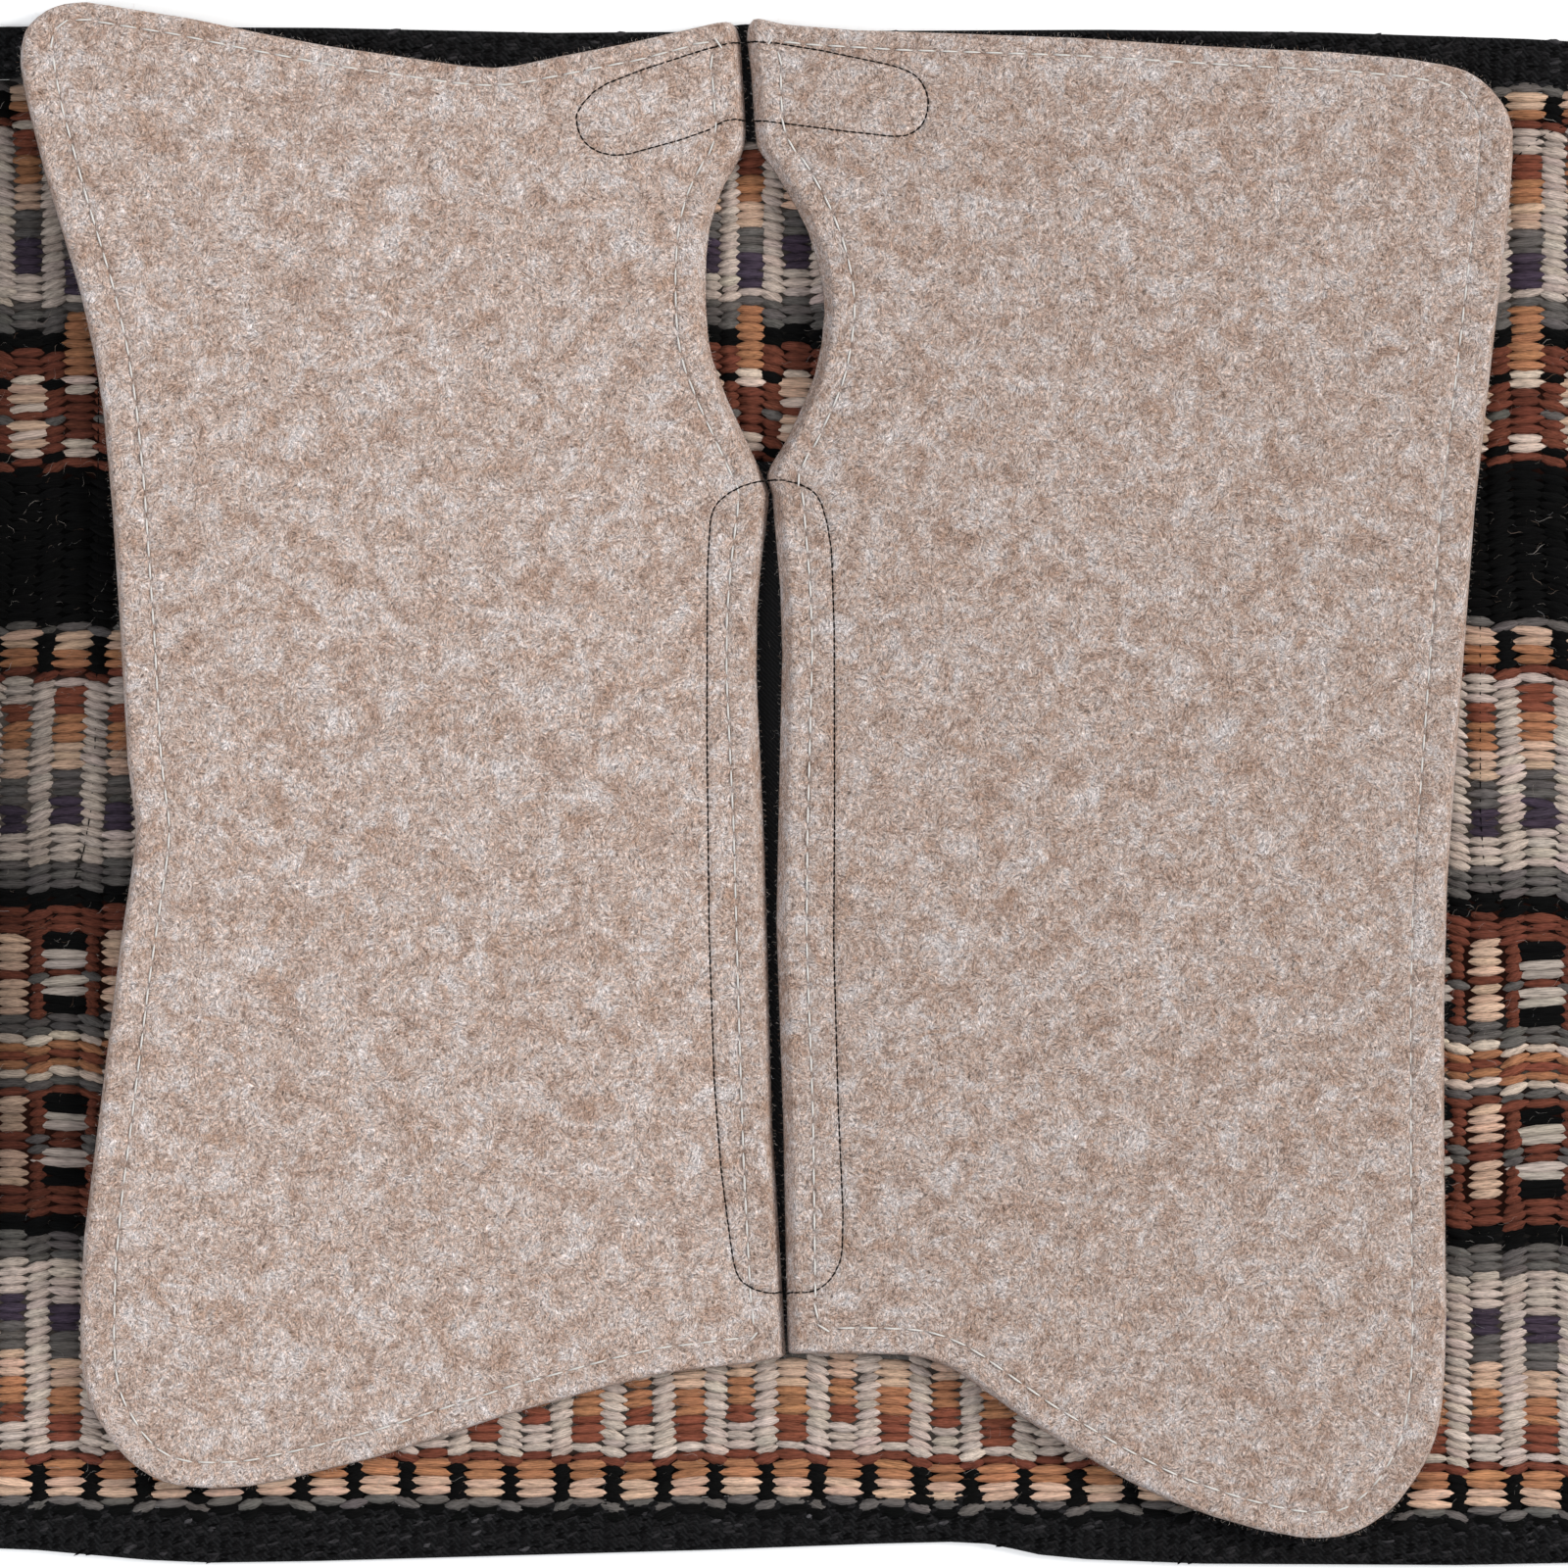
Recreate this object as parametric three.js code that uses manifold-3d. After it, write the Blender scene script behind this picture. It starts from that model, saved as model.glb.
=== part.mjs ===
// Western show saddle pad, laid out flat with its felt (horse) side up.
// A woven wool top carries a felt underlay of two contoured halves, which a front tab and a spine
// strip join across the spine. It folds in half along the spine.
// Millimetres. As it lies, +X is to the right, +Y to the withers (front) and +Z up out of the felt.
// The origin is under the middle of the pad, on the surface that it lies on.
import * as THREE from 'three';
import { mergeVertices } from 'three/addons/utils/BufferGeometryUtils.js';
import Module from 'manifold-3d';

const wasm = await Module();
wasm.setup();

// ---- Driving dimensions ----

// Layers, counted up from the outer (saddle) face
const GAP = 0.3; // clearance between neighbouring pieces
const WOVEN_THICK = 6;
const CORE_THICK = 3;
const STRAP_THICK = 1.9;
const FELT_THICK = 12.7;
const LEATHER_THICK = 2;
const CORE_Z = WOVEN_THICK + GAP;
const FELT_Z = CORE_Z + CORE_THICK + GAP;
const TOP_Z = FELT_Z + FELT_THICK;

// Woven top
const WOVEN_HALF_WIDTH = 508;
const WOVEN_CORNER_RADIUS = 20;
const BORDER_DEPTH = 30; // black bound border along the front and back edges

// Spine line, seen from above: it lies a little askew, x = SPINE_X - SPINE_SLOPE * y
const SPINE_X = -9.3;
const SPINE_SLOPE = 0.033;

// Straps under the felt reach past the stitch rows that hold them
const STRAP_MARGIN = 11;

// Stitch rows
// Perimeter row, in from the edges of a felt half
const EDGE_ROW_INSETS = { front: 11, back: 15.5, outer: 20, inner: 17 };
const INSET_KEEP = 0.97; // an inset point nearer to the edge than this share of its inset is left out
const LEATHER_ROW_INSET = 4;
const THREAD_THICK = 0.6;
const LIGHT_THREAD_WIDTH = 1.2;
const BLACK_THREAD_WIDTH = 1;
const GROOVE_CLEARANCE = 0.4; // groove is wider than its thread by this on each side
const BLACK_THREAD_DEPTH = 0.2; // top of the thread, below the felt's face
const LIGHT_THREAD_DEPTH = BLACK_THREAD_DEPTH + THREAD_THICK + GAP;
const LEATHER_THREAD_Z = 0.1;

// Sampling
const FINE_STEP = 3;
const CHORD_TOLERANCE = 0.3;
const BEYOND = 600; // further out than any part of the pad
const OVERSHOOT = 10; // cutting solids reach this far past what they cut

// ---- Outlines, as [x, y] points on smooth curves ----

const FRONT_EDGE = [
  [-508, 429], [-444, 430], [-274, 429.5], [-134, 426.5], [70, 428], [222, 428],
  [335, 426], [444, 422], [508, 418],
];
const BACK_EDGE = [
  [-508, -428], [-444, -433], [-387, -438.5], [-331, -442], [-223, -440], [-109, -437],
  [0, -433.5], [112, -431], [148, -438], [212, -442], [300, -443.3], [400, -443.3], [508, -441],
];

// Each felt half runs from its back inner corner forward along the spine, then round the outside.
const FELT_LEFT = [
  [1, -323], [-0.6, -289], [-5, -225], [-7.5, -173], [-9.4, -83], [-10.6, -45], [-12.8, 4],
  [-15.4, 56], [-15.4, 89], [-14.2, 112], [-11, 138], [-8.6, 159], [-9, 167], [-19, 189],
  [-35, 225], [-42, 247], [-44.5, 280], [-42.5, 313], [-36, 335], [-23, 359], [-21.6, 375],
  [-23.3, 395], [-25.2, 424], [-30, 431.5], [-49, 429], [-78, 422], [-120, 414], [-162, 406],
  [-205, 410.5], [-274, 421], [-331, 433], [-376, 440], [-397, 443.3], [-416, 439.5],
  [-429, 428.5], [-433, 412], [-430, 390], [-419, 346], [-398, 275], [-387.5, 223], [-379, 133],
  [-372, 11], [-367.5, -28], [-374.5, -78], [-387.5, -183], [-398, -274], [-397, -338],
  [-389.5, -359], [-372, -383], [-353, -395], [-331, -399], [-302, -398], [-260, -389],
  [-222, -379], [-165, -360], [-109, -344], [-67, -334], [-24, -329], [1, -324],
];
const FELT_RIGHT = [
  [2, -322], [1.3, -289], [0.8, -244], [-0.6, -189], [-2.4, -140], [-4.4, -80], [-3.9, -47],
  [-2.8, 9], [-1.1, 61], [-1.4, 95], [-3.3, 126], [-5.6, 149], [-7, 165], [-10, 174],
  [1, 194], [11, 215], [18, 234], [22.3, 258], [22.5, 278], [14, 312], [-3, 344], [-15, 361],
  [-16.8, 376], [-18.4, 401], [-21, 426], [-17, 433.5], [1, 430.5], [47, 427], [155, 423.5],
  [222, 419], [307, 415], [364, 409.5], [389, 403], [403.5, 391], [412, 376], [413, 353],
  [404, 267], [391, 150], [383.5, 44], [376, -56], [374, -166], [375.5, -300], [374, -342],
  [369, -372], [356, -397], [342, -413], [321, -425], [300, -427.5], [286, -426], [257, -419.5],
  [212, -403.5], [155, -372], [129, -355], [97, -332.5], [78, -325], [56, -323], [2, -322.5],
];

// Stitch rows that hold the straps, each a closed outline across the spine
const FRONT_TAB_ROW = [
  [-20, 420], [-1, 418.5], [30, 413], [67, 404.5], [75, 400], [80, 393], [81.5, 382], [77, 371.5],
  [68, 366.5], [52, 367], [13, 372], [-17, 375.5], [-34, 375], [-42, 370], [-70, 361],
  [-97, 355.5], [-112, 362], [-117.5, 377], [-111, 388], [-103, 394.5], [-77, 405], [-49, 414],
  [-33, 418.5],
];
const SPINE_STRIP_ROW = [
  [-10, 171.8], [2, 171.4], [15, 166.5], [20.5, 160], [26, 139], [28, 105], [28.8, 10],
  [28, -78], [30, -166], [33.3, -250], [31, -272], [20, -285.5], [2, -288], [-13, -287],
  [-25, -280], [-31.5, -250], [-38, -190], [-42.2, -90], [-43.6, 60], [-42.6, 135], [-39.5, 156],
  [-28, 166.5],
];

// Wear leathers on the outer face, towards the pad's lower edges
const WEAR_LEATHER_LEFT = [
  [-385.5, 250], [-385.5, 178], [-385.5, 83], [-389.5, -17], [-398.5, -55], [-411, -78], [-436, -88],
  [-462, -87], [-480, -72], [-485, -40], [-485, 340], [-479, 364], [-462, 377], [-435, 376],
  [-408, 358], [-394, 326],
];
const WEAR_LEATHER_RIGHT = [
  [391.5, 250], [391, 178], [391, 55], [392, -33], [396.5, -58], [412, -80], [442, -88],
  [470, -84], [486, -68], [490, -36], [490, 340], [484, 364], [467, 378], [440, 376.5],
  [412, 357.5], [399, 328],
];

// ---- Curves ----

// Points along the smooth curve through the given ones, close together
function fineCurve(points, closed = false) {
  const through = points.map(([x, y]) => new THREE.Vector3(x, y, 0));
  const curve = new THREE.CatmullRomCurve3(through, closed, 'centripetal');
  const steps = Math.round(curve.getLength() / FINE_STEP);
  curve.arcLengthDivisions = steps * 4;
  curve.updateArcLengths();
  const fine = curve.getSpacedPoints(steps).map(({ x, y }) => new THREE.Vector2(x, y));
  return closed ? fine.slice(0, -1) : fine;
}

// The same run of points with those left out that lie on a straight stretch
function thinned(points) {
  const kept = [points[0]];
  let start = 0;
  for (let end = 2; end < points.length; end += 1) {
    const chord = new THREE.Line3(asPoint3(points[start]), asPoint3(points[end]));
    const bulge = points.slice(start + 1, end).some((point) => distanceTo(chord, point) > CHORD_TOLERANCE);
    if (bulge) {
      start = end - 1;
      kept.push(points[start]);
    }
  }
  kept.push(points[points.length - 1]);
  return kept;
}

function asPoint3({ x, y }) {
  return new THREE.Vector3(x, y, 0);
}

function distanceTo(line, point) {
  const nearest = line.closestPointToPoint(asPoint3(point), true, new THREE.Vector3());
  return nearest.distanceTo(asPoint3(point));
}

// A closed outline moved inwards by the distance, or outwards if it is negative
function inset(outline, distance) {
  const inward = THREE.ShapeUtils.isClockWise(outline) ? -1 : 1;
  const moved = outline.map((point, i) => {
    const before = outline.at(i - 1);
    const after = outline[(i + 1) % outline.length];
    const along = new THREE.Vector2().subVectors(after, before).normalize();
    return new THREE.Vector2(point.x - along.y * inward * distance, point.y + along.x * inward * distance);
  });
  const nearest = Math.abs(distance) * INSET_KEEP;
  return moved.filter((point) => outline.every((other) => other.distanceTo(point) >= nearest));
}

// A felt half's perimeter row, which lies further in from some edges than from others
function edgeRowOf(felt, side) {
  const { front, back, outer, inner } = EDGE_ROW_INSETS;
  const inward = THREE.ShapeUtils.isClockWise(felt) ? -1 : 1;
  const moved = felt.map((point, i) => {
    const along = new THREE.Vector2().subVectors(felt[(i + 1) % felt.length], felt.at(i - 1)).normalize();
    const facing = new THREE.Vector2(along.y, -along.x).multiplyScalar(inward);
    const lengthwise = facing.y > 0 ? front : back;
    const sideways = facing.x * side > 0 ? outer : inner;
    const distance = lengthwise * facing.y ** 2 + sideways * facing.x ** 2;
    return { point: point.clone().addScaledVector(facing, -distance), nearest: distance * INSET_KEEP };
  });
  return moved
    .filter(({ point, nearest }) => felt.every((other) => other.distanceTo(point) >= nearest))
    .map(({ point }) => point);
}

function spineAt(y) {
  return SPINE_X - SPINE_SLOPE * y;
}

// ---- Solids ----

function solidOf(geometry) {
  geometry.deleteAttribute('normal');
  geometry.deleteAttribute('uv');
  const merged = mergeVertices(geometry);
  return new wasm.Manifold(new wasm.Mesh({
    numProp: 3,
    vertProperties: new Float32Array(merged.getAttribute('position').array),
    triVerts: new Uint32Array(merged.getIndex().array),
  }));
}

function prism(outline, bottom, top) {
  const shape = new THREE.Shape(outline);
  const geometry = new THREE.ExtrudeGeometry(shape, { depth: top - bottom, bevelEnabled: false });
  return solidOf(geometry.translate(0, 0, bottom));
}

// A flat band of the given width that follows a closed outline
function closedBand(outline, width, bottom, top) {
  const outer = prism(thinned(inset(outline, -width / 2)), bottom, top);
  const inner = prism(thinned(inset(outline, width / 2)), bottom - 1, top + 1);
  return outer.subtract(inner);
}

// Everything on one side of the spine line, -1 for the left and 1 for the right
function spineSide(side) {
  const edge = (y) => spineAt(y) + (side * GAP) / 2;
  const corners = [
    [edge(-BEYOND), -BEYOND], [edge(BEYOND), BEYOND], [side * BEYOND, BEYOND], [side * BEYOND, -BEYOND],
  ];
  return prism(corners.map(([x, y]) => new THREE.Vector2(x, y)), -OVERSHOOT, TOP_Z + OVERSHOOT);
}

// Everything in front of the front border's inner edge, or behind the back border's, moved by an offset
function beyondEdge(edge, direction, offset) {
  const line = thinned(fineCurve(edge)).map(({ x, y }) => new THREE.Vector2(x, y + direction * offset));
  line[0].x = -BEYOND;
  line[line.length - 1].x = BEYOND;
  const far = [new THREE.Vector2(BEYOND, direction * BEYOND), new THREE.Vector2(-BEYOND, direction * BEYOND)];
  return prism([...line, ...far], -OVERSHOOT, WOVEN_THICK + OVERSHOOT);
}

function wovenBlank() {
  const half = WOVEN_HALF_WIDTH;
  const corners = [[-half, -BEYOND], [half, -BEYOND], [half, BEYOND], [-half, BEYOND]];
  let solid = prism(corners.map(([x, y]) => new THREE.Vector2(x, y)), 0, WOVEN_THICK);
  solid = solid.subtract(beyondEdge(FRONT_EDGE, 1, 0)).subtract(beyondEdge(BACK_EDGE, -1, 0));
  for (const sideways of [-1, 1]) {
    for (const [edge, endwards] of [[FRONT_EDGE, 1], [BACK_EDGE, -1]]) {
      const endY = edge[sideways < 0 ? 0 : edge.length - 1][1];
      solid = solid.subtract(cornerWaste(sideways, endwards, endY));
    }
  }
  return solid;
}

// What a rounded corner takes away from the square one
function cornerWaste(sideways, endwards, endY) {
  const centreX = sideways * (WOVEN_HALF_WIDTH - WOVEN_CORNER_RADIUS);
  const centreY = endY - endwards * WOVEN_CORNER_RADIUS;
  const arcSteps = 8;
  const points = [];
  for (let i = 0; i <= arcSteps; i += 1) {
    const angle = (Math.PI / 2) * (i / arcSteps);
    const x = centreX + sideways * WOVEN_CORNER_RADIUS * Math.cos(angle);
    const y = centreY + endwards * WOVEN_CORNER_RADIUS * Math.sin(angle);
    points.push(new THREE.Vector2(x, y));
  }
  const margin = 5;
  const outX = sideways * (WOVEN_HALF_WIDTH + margin);
  points.push(new THREE.Vector2(centreX, endY + endwards * margin));
  points.push(new THREE.Vector2(outX, endY + endwards * margin));
  points.push(new THREE.Vector2(outX, centreY));
  return prism(points, -1, WOVEN_THICK + 1);
}

// ---- Pieces ----

const pad = new THREE.Group();

const finishes = {
  weave: new THREE.MeshStandardMaterial({ color: 0x9c8578, roughness: 0.95 }),
  border: new THREE.MeshStandardMaterial({ color: 0x1a1a1b, roughness: 0.95 }),
  felt: new THREE.MeshStandardMaterial({ color: 0xb8a59d, roughness: 1 }),
  foam: new THREE.MeshStandardMaterial({ color: 0x141416, roughness: 0.8 }),
  strap: new THREE.MeshStandardMaterial({ color: 0x1d1d1e, roughness: 0.7 }),
  leather: new THREE.MeshStandardMaterial({ color: 0x1c1714, roughness: 0.5 }),
  lightThread: new THREE.MeshStandardMaterial({ color: 0xd9d0c4, roughness: 0.8 }),
  blackThread: new THREE.MeshStandardMaterial({ color: 0x121212, roughness: 0.7 }),
};

function addPiece(name, solid, finish) {
  const { vertProperties, triVerts } = solid.getMesh();
  const geometry = new THREE.BufferGeometry();
  geometry.setAttribute('position', new THREE.BufferAttribute(vertProperties, 3));
  geometry.setIndex(new THREE.BufferAttribute(triVerts, 1));
  geometry.computeVertexNormals();
  const mesh = new THREE.Mesh(geometry, finish);
  mesh.name = name;
  pad.add(mesh);
}

const blank = wovenBlank();
const frontBorder = beyondEdge(FRONT_EDGE, 1, -BORDER_DEPTH);
const frontBorderClear = beyondEdge(FRONT_EDGE, 1, -BORDER_DEPTH - GAP);
const backBorder = beyondEdge(BACK_EDGE, -1, -BORDER_DEPTH);
const backBorderClear = beyondEdge(BACK_EDGE, -1, -BORDER_DEPTH - GAP);

const tabRow = fineCurve(FRONT_TAB_ROW, true);
const stripRow = fineCurve(SPINE_STRIP_ROW, true);

function strap(row, extra) {
  return prism(thinned(inset(row, -STRAP_MARGIN - extra)), CORE_Z, CORE_Z + STRAP_THICK);
}

// The core leaves room for the straps through its whole thickness
function strapRoom(row) {
  return prism(thinned(inset(row, -STRAP_MARGIN - GAP)), CORE_Z - 1, FELT_Z + 1);
}

function groove(row, width, threadDepth) {
  const bottom = TOP_Z - threadDepth - THREAD_THICK - GAP;
  return closedBand(row, width + 2 * GROOVE_CLEARANCE, bottom, TOP_Z + 1);
}

function thread(row, width, threadDepth) {
  const top = TOP_Z - threadDepth;
  return closedBand(row, width, top - THREAD_THICK, top);
}

// One half of the pad: its share of the woven top and straps, and its own felt, core and leather
function addHalf(side, name, feltPoints, leatherPoints) {
  const ownSide = spineSide(side);
  const felt = fineCurve(feltPoints, true);
  const edgeRow = fineCurve(thinned(edgeRowOf(felt, side)).map(({ x, y }) => [x, y]), true);
  const leather = fineCurve(leatherPoints, true);
  const leatherRow = inset(leather, LEATHER_ROW_INSET);

  const leatherRecess = prism(thinned(inset(leather, -GAP)), -1, LEATHER_THICK + GAP);
  const woven = blank.subtract(frontBorderClear).subtract(backBorderClear).subtract(leatherRecess);
  addPiece(`woven_top_${name}`, woven.intersect(ownSide), finishes.weave);
  addPiece(`front_border_${name}`, blank.intersect(frontBorder).intersect(ownSide), finishes.border);
  addPiece(`back_border_${name}`, blank.intersect(backBorder).intersect(ownSide), finishes.border);

  const leatherGroove = closedBand(leatherRow, BLACK_THREAD_WIDTH + 2 * GROOVE_CLEARANCE, -1,
    LEATHER_THREAD_Z + THREAD_THICK + GAP);
  const leatherThread = closedBand(leatherRow, BLACK_THREAD_WIDTH, LEATHER_THREAD_Z,
    LEATHER_THREAD_Z + THREAD_THICK);
  const panel = prism(thinned(leather), 0, LEATHER_THICK);
  addPiece(`wear_leather_${name}`, panel.subtract(leatherGroove), finishes.leather);
  addPiece(`wear_leather_thread_${name}`, leatherThread, finishes.blackThread);

  addPiece(`front_tab_${name}`, strap(tabRow, 0).intersect(ownSide), finishes.strap);
  addPiece(`spine_strip_${name}`, strap(stripRow, 0).intersect(ownSide), finishes.strap);

  const feltOutline = thinned(felt);
  const core = prism(feltOutline, CORE_Z, CORE_Z + CORE_THICK);
  addPiece(`foam_core_${name}`, core.subtract(strapRoom(tabRow)).subtract(strapRoom(stripRow)), finishes.foam);

  const feltBody = prism(feltOutline, FELT_Z, TOP_Z)
    .subtract(groove(edgeRow, LIGHT_THREAD_WIDTH, LIGHT_THREAD_DEPTH))
    .subtract(groove(tabRow, BLACK_THREAD_WIDTH, BLACK_THREAD_DEPTH))
    .subtract(groove(stripRow, BLACK_THREAD_WIDTH, BLACK_THREAD_DEPTH));
  addPiece(`felt_${name}`, feltBody, finishes.felt);

  const insideFelt = prism(thinned(inset(felt, 1)), FELT_Z, TOP_Z);
  addPiece(`felt_edge_thread_${name}`, thread(edgeRow, LIGHT_THREAD_WIDTH, LIGHT_THREAD_DEPTH),
    finishes.lightThread);
  addPiece(`front_tab_thread_${name}`,
    thread(tabRow, BLACK_THREAD_WIDTH, BLACK_THREAD_DEPTH).intersect(insideFelt), finishes.blackThread);
  addPiece(`spine_strip_thread_${name}`,
    thread(stripRow, BLACK_THREAD_WIDTH, BLACK_THREAD_DEPTH).intersect(insideFelt), finishes.blackThread);
}

addHalf(-1, 'left', FELT_LEFT, WEAR_LEATHER_LEFT);
addHalf(1, 'right', FELT_RIGHT, WEAR_LEATHER_RIGHT);

export default pad;
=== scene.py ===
"""Western saddle pad, lying felt side up: woven wool top, black borders, felt halves, straps and stitching."""
import math

import bmesh
import bpy
import numpy as np
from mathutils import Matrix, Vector
from mathutils.geometry import delaunay_2d_cdt
from mathutils.kdtree import KDTree


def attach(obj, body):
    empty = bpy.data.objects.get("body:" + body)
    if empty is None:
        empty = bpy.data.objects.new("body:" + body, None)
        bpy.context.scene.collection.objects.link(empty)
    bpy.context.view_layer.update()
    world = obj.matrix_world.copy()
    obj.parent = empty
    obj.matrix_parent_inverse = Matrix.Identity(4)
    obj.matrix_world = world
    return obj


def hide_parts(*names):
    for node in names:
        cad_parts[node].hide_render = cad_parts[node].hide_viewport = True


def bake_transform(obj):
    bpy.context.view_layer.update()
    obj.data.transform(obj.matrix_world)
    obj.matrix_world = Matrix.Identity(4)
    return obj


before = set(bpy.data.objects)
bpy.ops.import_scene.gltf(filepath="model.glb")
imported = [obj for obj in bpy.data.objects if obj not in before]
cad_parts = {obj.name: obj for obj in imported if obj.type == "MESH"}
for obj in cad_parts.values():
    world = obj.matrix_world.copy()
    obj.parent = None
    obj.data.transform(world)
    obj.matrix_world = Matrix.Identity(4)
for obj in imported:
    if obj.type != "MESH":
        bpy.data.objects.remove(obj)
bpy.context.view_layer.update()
random = np.random.default_rng(7)
MM = 0.001
SIDES = {"left": -1, "right": 1}

# ---- Sizes, in millimetres ----

SPINE = (-9.3, 0.033)        # the spine line is x = SPINE[0] - SPINE[1] * y
FOLD_REACH = 13              # floats within this distance of the spine line, with their reach, go into the spine pieces
CLOTH_BOTTOM, CLOTH_TOP = 1.3, 4.7           # of the ground cloth; the floats stand off both its faces
FLOAT_PROUD = 0.25
WOVEN_FACE = 6.0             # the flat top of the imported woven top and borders
BORDER_BOTTOM, BORDER_TOP = 0.9, 5.1
LEATHER_BOTTOM, LEATHER_TOP = -0.9, 1.3
STRAP_BOTTOM, STRAP_TOP = 6.3, 8.2
FOAM_BOTTOM, FOAM_TOP = 6.25, 9.35
PICK = 5.16                  # from one weft row to the next
COLUMN_ZERO = 4.4            # middle of column 0
COLUMN_PITCH = 14.4
COLUMNS_EACH_WAY = 36
WEAVE_HALF_WIDTH = 509       # floats that reach past this are left out
WEAVE_FRONT = 399.6          # front end of the first weft row
FLOAT_LENGTH, FLOAT_WIDTH, FLOAT_HEIGHT = 24.0, 6.9, 3.2
BORDER_FLOAT = (9.5, 2.7, 1.3)   # length, width and height of a border's finer floats
BORDER_PICK, BORDER_COLUMN = 2.3, 6.8
HIDDEN_UNDER_FELT = 14       # no inner floats further than this under the felt
HIDDEN_UNDER_LEATHER = 10    # and no outer ones further than this under a wear leather
FELT_BOTTOM, FELT_TOP = 9.6, 22.3
FELT_ROUNDING = 2.2
LIGHT_STITCH, BLACK_STITCH, LEATHER_STITCH = 12.8, 4.2, 5.2      # from one stitch to the next
LIGHT_STITCH_PROUD, BLACK_STITCH_PROUD = 1.35, 0.25
FIBRES_ON_FELT, FIBRES_ON_EDGE, LOOSE_WOOL, STRAP_LINT = 6400, 2600, 1500, 40   # on each half
STRAP_LINT_HEIGHT = 9.0
HAIR_THICK = 0.045           # of its length
# Soft creases in the felt: from, to, depth and half width
CREASES = [((-150, 397), (-98, 330), 0.9, 3.0), ((56, 330), (82, 378), 1.3, 5.5),
           ((44, 300), (56, 330), 0.8, 5.0)]
# Stitched rows: the groove's depth and half width, and how far the felt is drawn down beside it
GROOVES = {"felt_edge": (1.2, 0.75, 0.3), "front_tab": (0.9, 0.8, 0.25), "spine_strip": (0.9, 0.8, 0.25)}
# In metres: the camera's height, and how wide the picture is at a distance below it
CAMERA_HEIGHT, CAMERA_DISTANCE, FRAMED_WIDTH = 4.514, 4.5, 0.888

# Every band of the weave from front to back: rows, pattern, ground yarn
BANDS = [
    (1, "plain", "grey"), (3, "checks", "black"), (1, "plain", "rust"), (20, "blocks_front", "taupe"),
    (3, "tan_columns", "grey"), (2, "tan_columns", "black"), (3, "tan_columns", "rust"),
    (9, "diamonds", "rust"), (1, "plain", "rust"), (17, "plain", "black"), (1, "plain", "grey"),
    (4, "checks", "black"), (1, "plain", "rust"), (20, "blocks", "taupe"), (3, "plain", "grey"),
    (2, "plain", "black"), (3, "plain", "rust"), (9, "bars", "rust"), (2, "plain", "grey"),
    (1, "plain", "cream"), (1, "plain", "tan"), (1, "plain", "brown"), (1, "plain", "tan"),
    (1, "plain", "cream"), (1, "plain", "grey"), (1, "plain", "rust"), (10, "bars", "rust"),
    (3, "plain", "rust"), (2, "plain", "black"), (3, "plain", "grey"), (21, "blocks_back", "taupe"),
    (1, "plain", "rust"), (4, "checks_back", "black"), (1, "plain", "grey"), (1, "plain", "black"),
]
BLOCK_YARNS = ["brown", "tan", "peach", "grey", "purple"]
WIDE_BLOCK = (1, [3, 3, 3, 3, 3])      # first row, rows of each yarn
NARROW_BLOCK = (3, [2, 3, 3, 3, 3])
FRONT_BLOCKS = {0: (3, [3, 3, 3, 3, 4]), 2: (1, [3, 3, 3, 3, 4])}


def srgb(red, green, blue):
    """A colour given in 0 to 255 as it looks, in the linear values that the nodes take."""
    return tuple(((c / 255 + 0.055) / 1.055) ** 2.4 if c > 10 else c / 255 / 12.92
                 for c in (red, green, blue))


YARNS = {
    "black": srgb(12, 12, 12), "grey": srgb(96, 91, 88), "rust": srgb(106, 60, 47),
    "taupe": srgb(184, 168, 157), "brown": srgb(122, 70, 54), "tan": srgb(163, 113, 82),
    "peach": srgb(196, 164, 142), "cream": srgb(204, 184, 168), "purple": srgb(66, 56, 68),
    "pale": srgb(182, 169, 158), "border": srgb(26, 25, 26),
}

# ---- Outlines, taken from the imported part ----


def flat_loops(node, height):
    """The closed edges of a node's flat face at a height, in mm, longest first."""
    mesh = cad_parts[node].data
    mesh.calc_loop_triangles()
    points = np.array([v.co for v in mesh.vertices]) / MM
    level = np.abs(points[:, 2] - height) < 0.05
    names, tags = {}, np.zeros(len(points), int)
    for i in np.flatnonzero(level):
        tags[i] = names.setdefault((round(points[i, 0] * 50), round(points[i, 1] * 50)), len(names))
    places = np.zeros((len(names), 2))
    places[tags[level]] = points[level][:, :2]
    faces = [[int(tags[i]) for i in triangle.vertices] for triangle in mesh.loop_triangles
             if level[list(triangle.vertices)].all()]
    after = dict(open_edges(faces))
    loops = []
    while after:
        start = next(iter(after))
        chain, here = [], start
        while here in after:
            chain.append(here)
            here = after.pop(here)
        loops.append(places[chain])
    return sorted(loops, key=lambda loop: -length_of(loop))


def open_edges(faces):
    """The edges that only one face has."""
    edges = set()
    for face in faces:
        for a, b in zip(face, (*face[1:], face[0])):
            if (b, a) in edges:
                edges.discard((b, a))
            elif a != b:
                edges.add((a, b))
    return edges


def length_of(loop):
    return float(np.linalg.norm(np.roll(loop, -1, 0) - loop, axis=1).sum())


def respaced(points, step, closed=True):
    """The same line with its points an even step apart."""
    line = np.vstack([points, points[:1]]) if closed else np.asarray(points)
    along = np.concatenate([[0], np.cumsum(np.linalg.norm(np.diff(line, axis=0), axis=1))])
    count = max(3, round(along[-1] / step))
    where = np.linspace(0, along[-1], count + (not closed), endpoint=not closed)
    return np.column_stack([np.interp(where, along, line[:, k]) for k in range(line.shape[1])])


def anticlockwise(loop):
    x, y = loop.T
    area = (x * np.roll(y, -1) - np.roll(x, -1) * y).sum()
    return loop if area > 0 else loop[::-1]


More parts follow.
